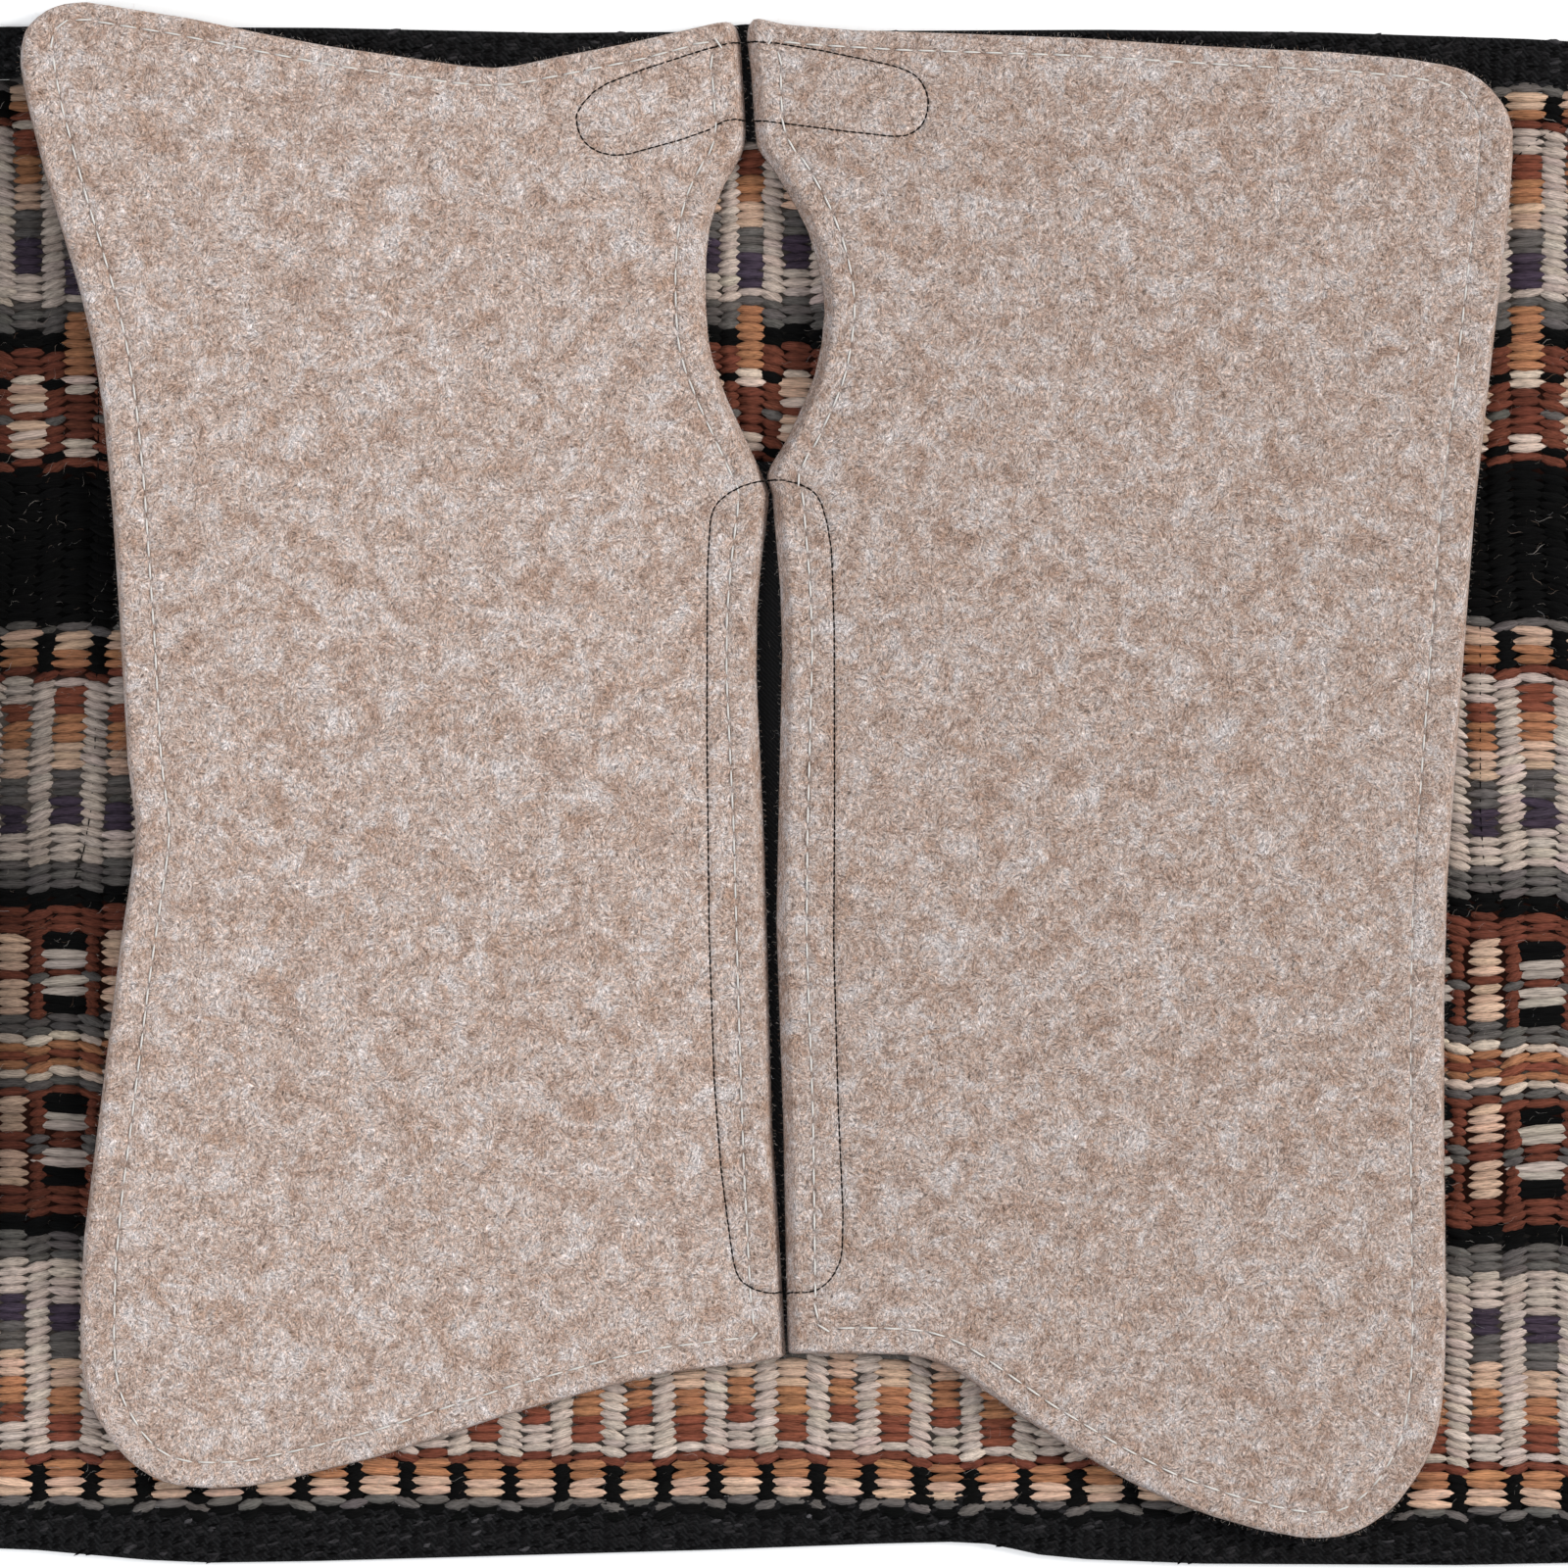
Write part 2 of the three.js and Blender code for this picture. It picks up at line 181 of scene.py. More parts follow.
def inward(loop):
    """Unit vectors that point into an anticlockwise outline."""
    along = np.roll(loop, -1, 0) - np.roll(loop, 1, 0)
    along /= np.linalg.norm(along, axis=1)[:, None] + 1e-9
    return np.column_stack([-along[:, 1], along[:, 0]])


def tree_of(points):
    tree = KDTree(len(points))
    for i, p in enumerate(points):
        tree.insert((p[0], p[1], 0), i)
    tree.balance()
    return tree


def distances(points, tree):
    """How far each point is from the nearest one of the tree, and which one that is."""
    found = [tree.find((p[0], p[1], 0)) for p in points]
    return np.array([f[2] for f in found]), np.array([f[1] for f in found])


def inside(points, loop):
    points = np.asarray(points, float)
    hits = np.zeros(len(points), bool)
    for (x0, y0), (x1, y1) in zip(loop, np.roll(loop, -1, 0)):
        if y0 == y1:
            continue
        crosses = (y0 > points[:, 1]) != (y1 > points[:, 1])
        hits ^= crosses & (points[:, 0] < (x1 - x0) * (points[:, 1] - y0) / (y1 - y0) + x0)
    return hits


def beside_spine(points):
    """Signed distance from the spine line, negative on the left."""
    points = np.asarray(points, float)
    return (points[:, 0] - SPINE[0] + SPINE[1] * points[:, 1]) / math.hypot(1, SPINE[1])


def whole_outline(name, height):
    """One outline from the left and right nodes, which meet at the spine line."""
    chains = []
    for side in SIDES:
        loop = respaced(anticlockwise(flat_loops(f"{name}_{side}", height)[0]), 1.5)
        cut = np.abs(beside_spine(loop)) < 1.0
        turn = next(i for i in range(len(loop)) if cut[i - 1] and not cut[i])
        loop, cut = np.roll(loop, -turn, 0), np.roll(cut, -turn)
        chains.append(loop[~cut])
    return np.vstack(chains)


def line_of_band(node, height, width):
    """The middle line of a thin stitched band, and whether it is closed."""
    loops = flat_loops(node, height)
    outer = respaced(anticlockwise(loops[0]), 1.0)
    if len(loops) > 1:
        return outer + inward(outer) * width / 2, True
    tree = tree_of(outer)
    count = len(outer)
    sums = []
    for i, p in enumerate(outer):
        near = [k for _, k, d in tree.find_range((p[0], p[1], 0), width * 1.6)
                if 6 < (k - i) % count < count - 6]
        sums += [(i + k) % count for k in near]
    turns = np.exp(2j * np.pi * np.array(sums) / count).mean()
    middle = round((np.angle(turns) / (2 * np.pi) % 1) * count / 2)
    line = [(outer[(middle + k) % count] + outer[(middle - k) % count]) / 2 for k in range(1, count // 2)]
    return np.array(line), False


felt_foot = {s: anticlockwise(flat_loops(f"felt_{s}", FELT_BOTTOM)[0]) for s in SIDES}
rows = {(row, side): line_of_band(f"{row}_thread_{side}", height, width) for side in SIDES
        for row, height, width in (("felt_edge", 21.2, 1.2), ("front_tab", 22.1, 1.0),
                                   ("spine_strip", 22.1, 1.0), ("wear_leather", 0.7, 1.0))}

# ---- Making meshes ----


def new_object(name, mesh):
    made = bpy.data.objects.new(name, mesh)
    bpy.context.scene.collection.objects.link(made)
    return made


def smooth_mesh(name, points, faces):
    mesh = bpy.data.meshes.new(name)
    mesh.from_pydata([tuple(p) for p in np.asarray(points) * MM], [], faces)
    mesh.validate()
    mesh.polygons.foreach_set("use_smooth", [True] * len(mesh.polygons))
    return mesh


def fill_outline(loops, extra):
    """Triangles that fill the first outline, less the others, through the extra points."""
    points, edges = [], []
    for loop in loops:
        first = len(points)
        points += list(map(tuple, loop))
        edges += [(first + i, first + (i + 1) % len(loop)) for i in range(len(loop))]
    points += list(map(tuple, extra))
    vertices, _, faces, *_ = delaunay_2d_cdt([Vector(p) for p in points], edges, [], 0, 1e-5)
    vertices = np.array([(v.x, v.y) for v in vertices])
    middles = np.array([vertices[list(f)].mean(0) for f in faces])
    kept = inside(middles, loops[0])
    for hole in loops[1:]:
        kept &= ~inside(middles, hole)
    return vertices, [f for f, k in zip(faces, kept) if k]


def rim_of(faces, count):
    """True for every point on the open edge of a sheet of triangles."""
    rim = np.zeros(count, bool)
    rim[[i for edge in open_edges(faces) for i in edge]] = True
    return rim


def rings_inside(loops, depths, step):
    """Points in rows that follow the outlines at the given depths."""
    found = []
    for loop in loops:
        line = respaced(loop, step)
        into = inward(line) * (1 if loop is loops[0] else -1)
        tree = tree_of(line)
        for depth in depths:
            depth = np.broadcast_to(np.asarray(depth, float), len(line))
            ring = line + into * depth[:, None]
            far, _ = distances(ring, tree)
            found.append(ring[far > 0.94 * depth])
    return np.vstack(found)


def grid_inside(loops, step, margin):
    """Evenly staggered points inside the outlines, no nearer to them than the margin."""
    low, high = loops[0].min(0), loops[0].max(0)
    lines = np.arange(low[1], high[1], step * 0.866)
    grid = np.array([(x, y) for i, y in enumerate(lines)
                     for x in np.arange(low[0] + (i % 2) * step / 2, high[0], step)])
    grid = grid[inside(grid, loops[0])]
    for hole in loops[1:]:
        grid = grid[~inside(grid, hole)]
    far, _ = distances(grid, tree_of(np.vstack([respaced(loop, 2) for loop in loops])))
    return grid[far > margin]


def soft_slab(name, loops, bottom, top, step, edge_step):
    """A flat piece with a fully rounded edge, from bottom to top."""
    loops = [respaced(anticlockwise(loop), edge_step) for loop in loops]
    radius = (top - bottom) / 2
    extra = np.vstack([rings_inside(loops, [radius * share for share in (0.12, 0.4, 0.8)], edge_step),
                       grid_inside(loops, step, max(radius, step * 0.45))])
    flat, faces = fill_outline(loops, extra)
    tree = tree_of(np.vstack([respaced(loop, 0.5) for loop in loops]))
    depth = np.minimum(distances(flat, tree)[0] / radius, 1)
    rim = rim_of(faces, len(flat))
    depth[rim] = 0
    half = radius * np.sqrt(1 - (1 - depth) ** 2)
    middle = (bottom + top) / 2
    upper = np.column_stack([flat, middle + half])
    lower = np.column_stack([flat, middle - half])
    count = len(flat)
    lower_tag = np.where(rim, np.arange(count), np.arange(count) + count)
    faces = [tuple(f) for f in faces]
    under = [tuple(int(lower_tag[i]) for i in reversed(f)) for f in faces]
    mesh = smooth_mesh(name, np.vstack([upper, lower]), faces + under)
    return close_up(new_object(name, mesh))


def close_up(made, merged=False):
    """Joins points that lie on each other, where asked to, and drops points that no face uses."""
    work = bmesh.new()
    work.from_mesh(made.data)
    if merged:
        bmesh.ops.remove_doubles(work, verts=work.verts, dist=0.00001)
    bmesh.ops.delete(work, geom=[v for v in work.verts if not v.link_faces], context="VERTS")
    work.to_mesh(made.data)
    work.free()
    return made


def value_noise(points, scale, seed):
    """Soft even noise from -1 to 1, from a few sine waves in fixed directions."""
    waves = np.random.default_rng(seed)
    total = np.zeros(len(points))
    for _ in range(7):
        angle, phase = waves.uniform(0, 2 * math.pi, 2)
        stretch = waves.uniform(0.6, 1.7)
        along = points[:, 0] * math.cos(angle) + points[:, 1] * math.sin(angle)
        total += np.sin(along / scale * stretch + phase)
    return total / 4.2


# ---- Geometry node trees ----


class Nodes:
    """A node tree and short names for filling it."""

    def __init__(self, tree):
        self.tree, self.nodes, self.links = tree, tree.nodes, tree.links

    def put(self, value, socket):
        """Links an output, or sets a plain value."""
        if isinstance(value, bpy.types.NodeSocket):
            self.links.new(value, socket)
        elif socket.type == "RGBA":
            socket.default_value = (*value, 1)
        else:
            socket.default_value = value

    def add(self, kind, inputs=None, **settings):
        node = self.nodes.new(kind)
        for key, value in settings.items():
            setattr(node, key, value)
        for key, value in (inputs or {}).items():
            self.put(value, node.inputs[key])
        return node


def new_group(kind, name, inputs, output):
    """An empty node group with named inputs, and the outputs of its input node."""
    tree = bpy.data.node_groups.new(name, kind)
    for label, socket in inputs.items():
        tree.interface.new_socket(label, in_out="INPUT", socket_type="NodeSocket" + socket)
    tree.interface.new_socket(output[0], in_out="OUTPUT", socket_type="NodeSocket" + output[1])
    made = Nodes(tree)
    return made, made.add("NodeGroupInput").outputs


def shape_on_points(made, start, inputs):
    """The end of a tree that puts its shape on points, as plain faces in its finish."""
    shape = made.add("GeometryNodeObjectInfo", {"Object": start["Shape"]}).outputs["Geometry"]
    placed = made.add("GeometryNodeInstanceOnPoints", {"Instance": shape, **inputs}).outputs[0]
    real = made.add("GeometryNodeRealizeInstances", {0: placed}).outputs[0]
    made.add("NodeGroupOutput", {0: made.add("GeometryNodeSetMaterial", {
        "Geometry": real, "Material": start["Finish"]}).outputs[0]})
    return made.tree


def set_out_tree():
    """Puts one shape on every point, turned and sized by the point's own attributes."""
    made, start = new_group("GeometryNodeTree", "set_out_shapes", {
        "Points": "Geometry", "Shape": "Object", "Finish": "Material"}, ("Made", "Geometry"))
    turn, size = (made.add("GeometryNodeInputNamedAttribute", {"Name": label}, data_type="FLOAT_VECTOR")
                  .outputs["Attribute"] for label in ("turn", "size"))
    turn = made.add("FunctionNodeEulerToRotation", {0: turn}).outputs[0]
    return shape_on_points(made, start, {"Points": start["Points"], "Rotation": turn, "Scale": size})


def stitch_tree():
    """Lays one stitch after another along a row."""
    made, start = new_group("GeometryNodeTree", "lay_stitches", {
        "Row": "Geometry", "Shape": "Object", "Finish": "Material", "Pitch": "Float"}, ("Made", "Geometry"))
    curve = made.add("GeometryNodeMeshToCurve", {"Mesh": start["Row"]}).outputs[0]
    even = made.add("GeometryNodeResampleCurve", {"Curve": curve, "Length": start["Pitch"]},
                    mode="LENGTH").outputs[0]
    tangent = made.add("GeometryNodeInputTangent").outputs[0]
    turn = made.add("FunctionNodeAlignRotationToVector", {"Vector": tangent}, axis="X",
                    pivot_axis="Z").outputs[0]
    return shape_on_points(made, start, {"Points": even, "Rotation": turn})


SET_OUT, LAY_STITCHES = set_out_tree(), stitch_tree()


def run_tree(name, source, tree, values):
    """The tree's result on a source mesh, as a plain mesh object."""
    carrier = new_object(name + "_source", source)
    modifier = carrier.modifiers.new("tree", "NODES")
    modifier.node_group = tree
    for item in tree.interface.items_tree:
        if item.in_out == "INPUT" and item.name in values:
            modifier[item.identifier] = values[item.name]
    graph = bpy.context.evaluated_depsgraph_get()
    mesh = bpy.data.meshes.new_from_object(carrier.evaluated_get(graph), preserve_all_data_layers=True,
                                           depsgraph=graph)
    bpy.data.objects.remove(carrier)
    for attribute in ("turn", "size"):
        if attribute in mesh.attributes:
            mesh.attributes.remove(mesh.attributes[attribute])
    mesh.name = name
    return new_object(name, mesh)


def set_out(name, shape, finish, points, turn, size, tint):
    """A piece made of one shape on many points, all in mm."""
    source = bpy.data.meshes.new(name + "_points")
    source.from_pydata([tuple(p) for p in np.asarray(points) * MM], [], [])
    colours = np.column_stack([tint, np.ones(len(points))])
    for label, kind, field, values in (("turn", "FLOAT_VECTOR", "vector", turn),
                                       ("size", "FLOAT_VECTOR", "vector", size),
                                       ("tint", "FLOAT_COLOR", "color", colours),
                                       ("seed", "FLOAT", "value", random.random(len(points)))):
        layer = source.attributes.new(label, kind, "POINT").data
        layer.foreach_set(field, np.asarray(values, float).ravel())
    return run_tree(name, source, SET_OUT, {"Shape": shape, "Finish": finish})


def join(name, parts):
    """Several objects as one, the first's."""
    bpy.ops.object.select_all(action="DESELECT")
    for part in parts:
        part.select_set(True)
    bpy.context.view_layer.objects.active = parts[0]
    bpy.ops.object.join()
    parts[0].name = name
    parts[0].data.name = name
    return parts[0]


def lay_stitches(name, line, closed, height, pitch, stitch, finish):
    """A row of stitches along a line, at one height or at a height for each point."""
    line = respaced(line, 1.0, closed)
    heights = height(line) if callable(height) else np.full(len(line), float(height))
    mesh = bpy.data.meshes.new(name + "_row")
    count = len(line)
    edges = [(i, (i + 1) % count) for i in range(count if closed else count - 1)]
    mesh.from_pydata([tuple(p) for p in np.column_stack([line, heights]) * MM], edges, [])
    return run_tree(name, mesh, LAY_STITCHES, {"Shape": stitch, "Finish": finish, "Pitch": pitch * MM})


# ---- Small shapes that are repeated ----


def tube_shape(name, stations, sides=5, first_angle=0.0):
    """A closed tube along X from (x, y, z, half width, half height) stations, with pointed ends."""
    points, faces = [stations[0][:3]], []
    for x, y, z, wide, high in stations[1:-1]:
        for k in range(sides):
            angle = 2 * math.pi * k / sides + first_angle
            points.append((x, y + wide * math.cos(angle), z + high * math.sin(angle)))
    points.append(stations[-1][:3])
    rings = len(stations) - 2
    for k in range(sides):
        after = (k + 1) % sides
        faces.append((0, 1 + after, 1 + k))
        for ring in range(rings - 1):
            a, b = 1 + ring * sides, 1 + (ring + 1) * sides
            faces.append((a + k, a + after, b + after, b + k))
        a = 1 + (rings - 1) * sides
        faces.append((a + k, a + after, len(points) - 1))
    mesh = smooth_mesh(name, points, faces)
    made = new_object(name, mesh)
    reach = max(abs(p[0]) for p in points)
    uv = mesh.uv_layers.new(name="yarn").data
    for loop in mesh.loops:
        x, y, _ = (c / MM for c in mesh.vertices[loop.vertex_index].co)
        uv[loop.index].uv = (x / reach, y / 3)
    return made


def float_shape(name, length, width, height, dive, places=(0.38, 0.74), sides=5):
    """One float of weft yarn: fat in the middle, its ends diving under the next columns."""
    stations = []
    for u in (-1, *(-u for u in places[::-1]), 0, *places, 1):
        fat = 1 - abs(u) ** 1.5
        stations.append((u * length / 2, 0, -dive * u * u, width / 2 * fat, height / 2 * fat + 0.02))
    return tube_shape(name, stations, sides, math.pi / 2)


def stitch_shape(name, length, thick, dip):
    stations = []
    for u in (-1, -0.85, -0.45, 0, 0.45, 0.85, 1):
        fat = thick / 2 * (1 - abs(u) ** 5)
        stations.append((u * length / 2, 0, -dip * u ** 4, fat, fat))
    return tube_shape(name, stations, 5)


def hair_shape(name, bends, thick):
    """One curled fibre, 1 mm long before it is sized."""
    stations = []
    steps = 6
    x = y = z = 0.0
    for k in range(steps):
        share = k / (steps - 1)
        fat = thick / 2 * (1 - share * 0.6)
        stations.append((x, y, z, fat, fat))
        heading = bends[0] * share + bends[1] * math.sin(share * 5)
        x += math.cos(heading) / (steps - 1)
        y += math.sin(heading) / (steps - 1)
        z += bends[2] * math.sin(share * math.pi) / (steps - 1)
    return tube_shape(name, stations, 3)


YARN_FLOAT = float_shape("yarn_float", FLOAT_LENGTH, FLOAT_WIDTH, FLOAT_HEIGHT, 1.1)
SPINE_FLOAT = float_shape("spine_float", FLOAT_LENGTH, FLOAT_WIDTH, FLOAT_HEIGHT, 1.1,
                          (0.15, 0.3, 0.45, 0.6, 0.75, 0.9))
FINE_FLOAT = float_shape("fine_float", *BORDER_FLOAT, 0.9, (0.55,), 4)
LIGHT_STITCH_SHAPE = stitch_shape("light_stitch", 10.4, 1.15, 1.6)
BLACK_STITCH_SHAPE = stitch_shape("black_stitch", 4.5, 1.1, 0.6)
LEATHER_STITCH_SHAPE = stitch_shape("leather_stitch", 4.6, 0.8, 0.5)
LINTS = [hair_shape("lint_a", (1.6, 0.4, 0.1), 0.02), hair_shape("lint_b", (-1.0, 0.8, 0.08), 0.02)]
HAIRS = [hair_shape("hair_a", (1.3, 0.3, 0.12), HAIR_THICK), hair_shape("hair_b", (-2.0, 0.5, 0.1), HAIR_THICK),
         hair_shape("hair_c", (0.5, -0.9, 0.15), HAIR_THICK)]

# ---- Materials ----


class Finish(Nodes):
    """A material and short names for making its nodes."""

    def __init__(self, name, roughness, sheen=0.0):
        self.material = bpy.data.materials.new(name)
        self.material.use_nodes = True
        super().__init__(self.material.node_tree)
        self.shader = self.nodes["Principled BSDF"]
        for label, value in (("Roughness", roughness), ("Specular IOR Level", 0.04), ("Sheen Weight", sheen),
                             ("Sheen Roughness", 0.5)):
            self.shader.inputs[label].default_value = value

    def noise(self, vector, scale, detail=3.0, rough=0.55, distortion=0.0):
        return self.add("ShaderNodeTexNoise", {"Vector": vector, "Scale": scale, "Detail": detail,
                                               "Roughness": rough, "Distortion": distortion}).outputs["Fac"]

    def ramp(self, value, *stops):
        node = self.add("ShaderNodeValToRGB", {"Fac": value})
        elements = node.color_ramp.elements
        while len(elements) < len(stops):
            elements.new(0.5)
        for element, (place, colour) in zip(elements, stops):
            element.position = place
            element.color = (*(colour if isinstance(colour, tuple) else (colour,) * 3), 1)
        return node.outputs["Color"]

    def mix(self, share, a, b, way="MIX"):
        node = self.add("ShaderNodeMix", {0: share}, data_type="RGBA", blend_type=way, clamp_factor=True)
        self.put(a, node.inputs[6])
        self.put(b, node.inputs[7])
        return node.outputs[2]

    def multiply(self, a, b):
        return self.mix(1.0, a, b, "MULTIPLY")

    def sum(self, a, b, way="ADD"):
        node = self.add("ShaderNodeMath", operation=way)
        self.put(a, node.inputs[0])
        self.put(b, node.inputs[1])
        return node.outputs[0]

    def times(self, a, b):
        return self.sum(a, b, "MULTIPLY")

    def group(self, tree, inputs):
        return self.add("ShaderNodeGroup", inputs, node_tree=tree).outputs[0]

    def own(self, attribute, kind="Color"):
        return self.add("ShaderNodeAttribute", attribute_name=attribute).outputs[kind]

    def colour(self, socket):
        self.links.new(socket, self.shader.inputs["Base Color"])

    def bump(self, height, distance, strength=1.0):
        node = self.add("ShaderNodeBump", {"Height": height, "Distance": distance, "Strength": strength})
        self.links.new(node.outputs[0], self.shader.inputs["Normal"])

    def place(self):
        return self.add("ShaderNodeTexCoord").outputs["Object"]


def yarn_finish():
    """Two-ply wool: fine strands along each float, its tint, and soft fuzz. In the weave's floats the tint also
    carries painted shade and light.
    """
    finish = Finish("wool_yarn", 0.95, 0.01)
    seed = finish.own("seed", "Fac")
    uv = finish.add("ShaderNodeUVMap", uv_map="yarn").outputs[0]
    shift = finish.add("ShaderNodeCombineXYZ", {"X": finish.times(seed, 61.0),
                                                "Y": finish.times(seed, 37.0)}).outputs[0]
    strands = finish.add("ShaderNodeMapping", {"Vector": uv, "Location": shift, "Rotation": (0, 0, 0.06),
                                               "Scale": (1.1, 2.6, 1.0)}).outputs[0]
    fine = finish.noise(strands, 1.7, 4, 0.7, 0.3)
    broad = finish.noise(strands, 0.4, 2, 0.5)
    shade = finish.multiply(finish.ramp(fine, (0.3, 0.3), (0.5, 0.97), (0.7, 1.5)),
                            finish.ramp(broad, (0.3, 0.84), (0.7, 1.14)))
    finish.colour(finish.multiply(finish.own("tint"), shade))
    finish.bump(fine, 0.0012, 0.9)
    return finish.material


def plain_cloth_finish(name, colour, scale, roughness, depth=0.0004):
    """Close cloth or webbing of one colour with a fine rib."""
    finish = Finish(name, roughness, 0.02)
    place = finish.place()
    ribs = finish.add("ShaderNodeTexWave", {"Vector": place, "Scale": scale, "Distortion": 3.0, "Detail": 2.0,
                                            "Detail Scale": 2.0}, bands_direction="DIAGONAL").outputs["Fac"]
    fleck = finish.noise(place, scale * 3, 4, 0.6)
    dark, light = (tuple(c * share + more for c in colour) for share, more in ((0.65, 0), (1.35, 0.004)))
    finish.colour(finish.ramp(finish.sum(finish.times(ribs, 0.4), finish.times(fleck, 0.6)),
                              (0.25, dark), (0.8, light)))
    finish.bump(finish.sum(ribs, fleck), depth)
    return finish.material


def matted_fibres():
    """Short fibres that lie together in small tufts, each tuft pointing its own way."""
    made, start = new_group("ShaderNodeTree", "matted_fibres", {
        "Vector": "Vector", "Tufts": "Float", "Fibres": "Float"}, ("Fac", "Float"))

    def vector(way, inputs):
        return made.add("ShaderNodeVectorMath", inputs, operation=way).outputs[0]

    wander = made.add("ShaderNodeTexNoise", {"Vector": start["Vector"], "Scale": 420.0, "Detail": 1.0})
    bent = vector("SCALE", {0: wander.outputs["Color"], "Scale": 0.0022})
    moved = vector("ADD", {0: start["Vector"], 1: bent})
    tuft = made.add("ShaderNodeTexVoronoi", {"Vector": moved, "Scale": start["Tufts"]}).outputs
    angle = made.add("ShaderNodeMath", {0: tuft["Color"], 1: 6.283}, operation="MULTIPLY").outputs[0]
    turned = made.add("ShaderNodeVectorRotate", {"Vector": vector("SUBTRACT", {0: moved, 1: tuft["Position"]}),
                                                 "Angle": angle}, rotation_type="Z_AXIS").outputs[0]
    shifted = vector("ADD", {0: turned, 1: tuft["Color"]})
    stretched = vector("MULTIPLY", {0: shifted, 1: (0.26, 1.0, 1.0)})
    fibres = made.add("ShaderNodeTexNoise", {"Vector": stretched, "Scale": start["Fibres"], "Detail": 2.0,
                                             "Roughness": 0.6, "Distortion": 0.5}).outputs["Fac"]
    made.add("NodeGroupOutput", {0: fibres})
    return made.tree


def felt_finish():
    """Pressed wool felt: short matted fibres in beige, brown, pink and bluish grey."""
    finish = Finish("pressed_felt", 0.97, 0.02)
    place = finish.place()
    coarse = finish.group(MATTED, {"Vector": place, "Tufts": 190.0, "Fibres": 1150.0})
    fine = finish.group(MATTED, {"Vector": place, "Tufts": 330.0, "Fibres": 1700.0})
    patch = finish.noise(place, 48, 4, 0.95, 0.4)
    moved = finish.add("ShaderNodeMapping", {"Vector": place, "Location": (3.1, 1.7, 0.4)}).outputs[0]
    other = finish.noise(moved, 62, 4, 0.9, 0.8)
    fleck = finish.noise(moved, 420, 3, 0.65, 1.0)
    base = finish.ramp(patch, (0.37, srgb(164, 138, 124)), (0.5, srgb(191, 172, 162)),
                       (0.63, srgb(207, 198, 196)))
    base = finish.mix(finish.ramp(other, (0.48, 0.0), (0.66, 0.66)), base, srgb(168, 137, 117))
    base = finish.mix(finish.ramp(fleck, (0.56, 0.0), (0.7, 0.6)), base, srgb(134, 108, 93))
    pale = finish.noise(place, 300, 3, 0.6, 1.2)
    base = finish.mix(finish.ramp(pale, (0.55, 0.0), (0.7, 0.4)), base, srgb(216, 206, 201))
    base = finish.multiply(base, finish.ramp(coarse, (0.3, 0.3), (0.5, 1.02), (0.7, 1.62)))
    base = finish.multiply(base, finish.ramp(fine, (0.3, 0.62), (0.5, 1.0), (0.7, 1.42)))
    # Painted light: the felt is made lighter on the left half (x below -40 mm), 1.12 against 1.02 on the right.
    side = finish.add("ShaderNodeSeparateXYZ", {"Vector": place}).outputs["X"]
    finish.colour(finish.multiply(base, finish.ramp(finish.sum(side, 0.5), (0.46, 1.12), (0.5, 1.02))))
    finish.bump(finish.sum(coarse, fine), 0.0012, 0.8)
    return finish.material


def thread_finish(name, colour, shade):
    finish = Finish(name, 0.8)
    uv = finish.add("ShaderNodeUVMap", uv_map="yarn").outputs[0]
    twist = finish.add("ShaderNodeTexWave", {"Vector": uv, "Scale": 2.6, "Distortion": 0.6},
                       bands_direction="DIAGONAL").outputs["Fac"]
    finish.colour(finish.ramp(twist, (0.0, tuple(c * shade for c in colour)), (0.7, colour)))
    finish.bump(twist, 0.0003)
    return finish.material


def leather_finish():
    finish = Finish("wear_leather_grain", 0.5)
    place = finish.place()
    cells = finish.add("ShaderNodeTexVoronoi", {"Vector": place, "Scale": 420.0}).outputs["Distance"]
    wear = finish.noise(place, 18, 4, 0.6)
    finish.colour(finish.ramp(wear, (0.35, srgb(34, 27, 23)), (0.65, srgb(56, 44, 37))))
    finish.links.new(finish.ramp(wear, (0.3, 0.62), (0.7, 0.42)), finish.shader.inputs["Roughness"])
    finish.bump(cells, 0.0005)
    return finish.material


def fibre_finish():
    finish = Finish("wool_fibre", 0.8)
    finish.colour(finish.own("tint"))
    return finish.material


def cloth_ground_finish():
    """The warp and the yarn between the floats; its tint is darkened with painted shade."""
    finish = Finish("weave_ground", 0.95)
    fleck = finish.noise(finish.add("ShaderNodeUVMap", uv_map="flat").outputs[0], 300, 3)
    finish.colour(finish.multiply(finish.own("tint"), finish.ramp(fleck, (0.3, 0.6), (0.7, 1.2))))
    finish.bump(fleck, 0.0006)
    return finish.material


MATTED = matted_fibres()
YARN, FELT = yarn_finish(), felt_finish()
GROUND, LEATHER, HAIR = cloth_ground_finish(), leather_finish(), fibre_finish()
FOAM = plain_cloth_finish("foam_skin", srgb(24, 24, 25), 260, 0.85)
STRAP = plain_cloth_finish("strap_cloth", srgb(31, 31, 32), 240, 0.9)
BORDER = plain_cloth_finish("border_cloth", srgb(25, 25, 26), 170, 0.95, 0.0006)
LIGHT_THREAD = thread_finish("light_thread", srgb(255, 251, 245), 0.9)
BLACK_THREAD = thread_finish("black_thread", srgb(22, 20, 19), 0.6)


def wear(made, material):
    made.data.materials.clear()
    made.data.materials.append(material)
    return made


# ---- Which body a piece follows ----


def follow(made, side, slot, *stands_for):
    """The piece rides on one half, or, where side is None, is left on no half with its transform applied."""
    if side is None:
        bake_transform(made)
    else:
        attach(made, f"{side}_half")
    if stands_for:
        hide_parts(*stands_for)
    return made


# ---- The woven top ----


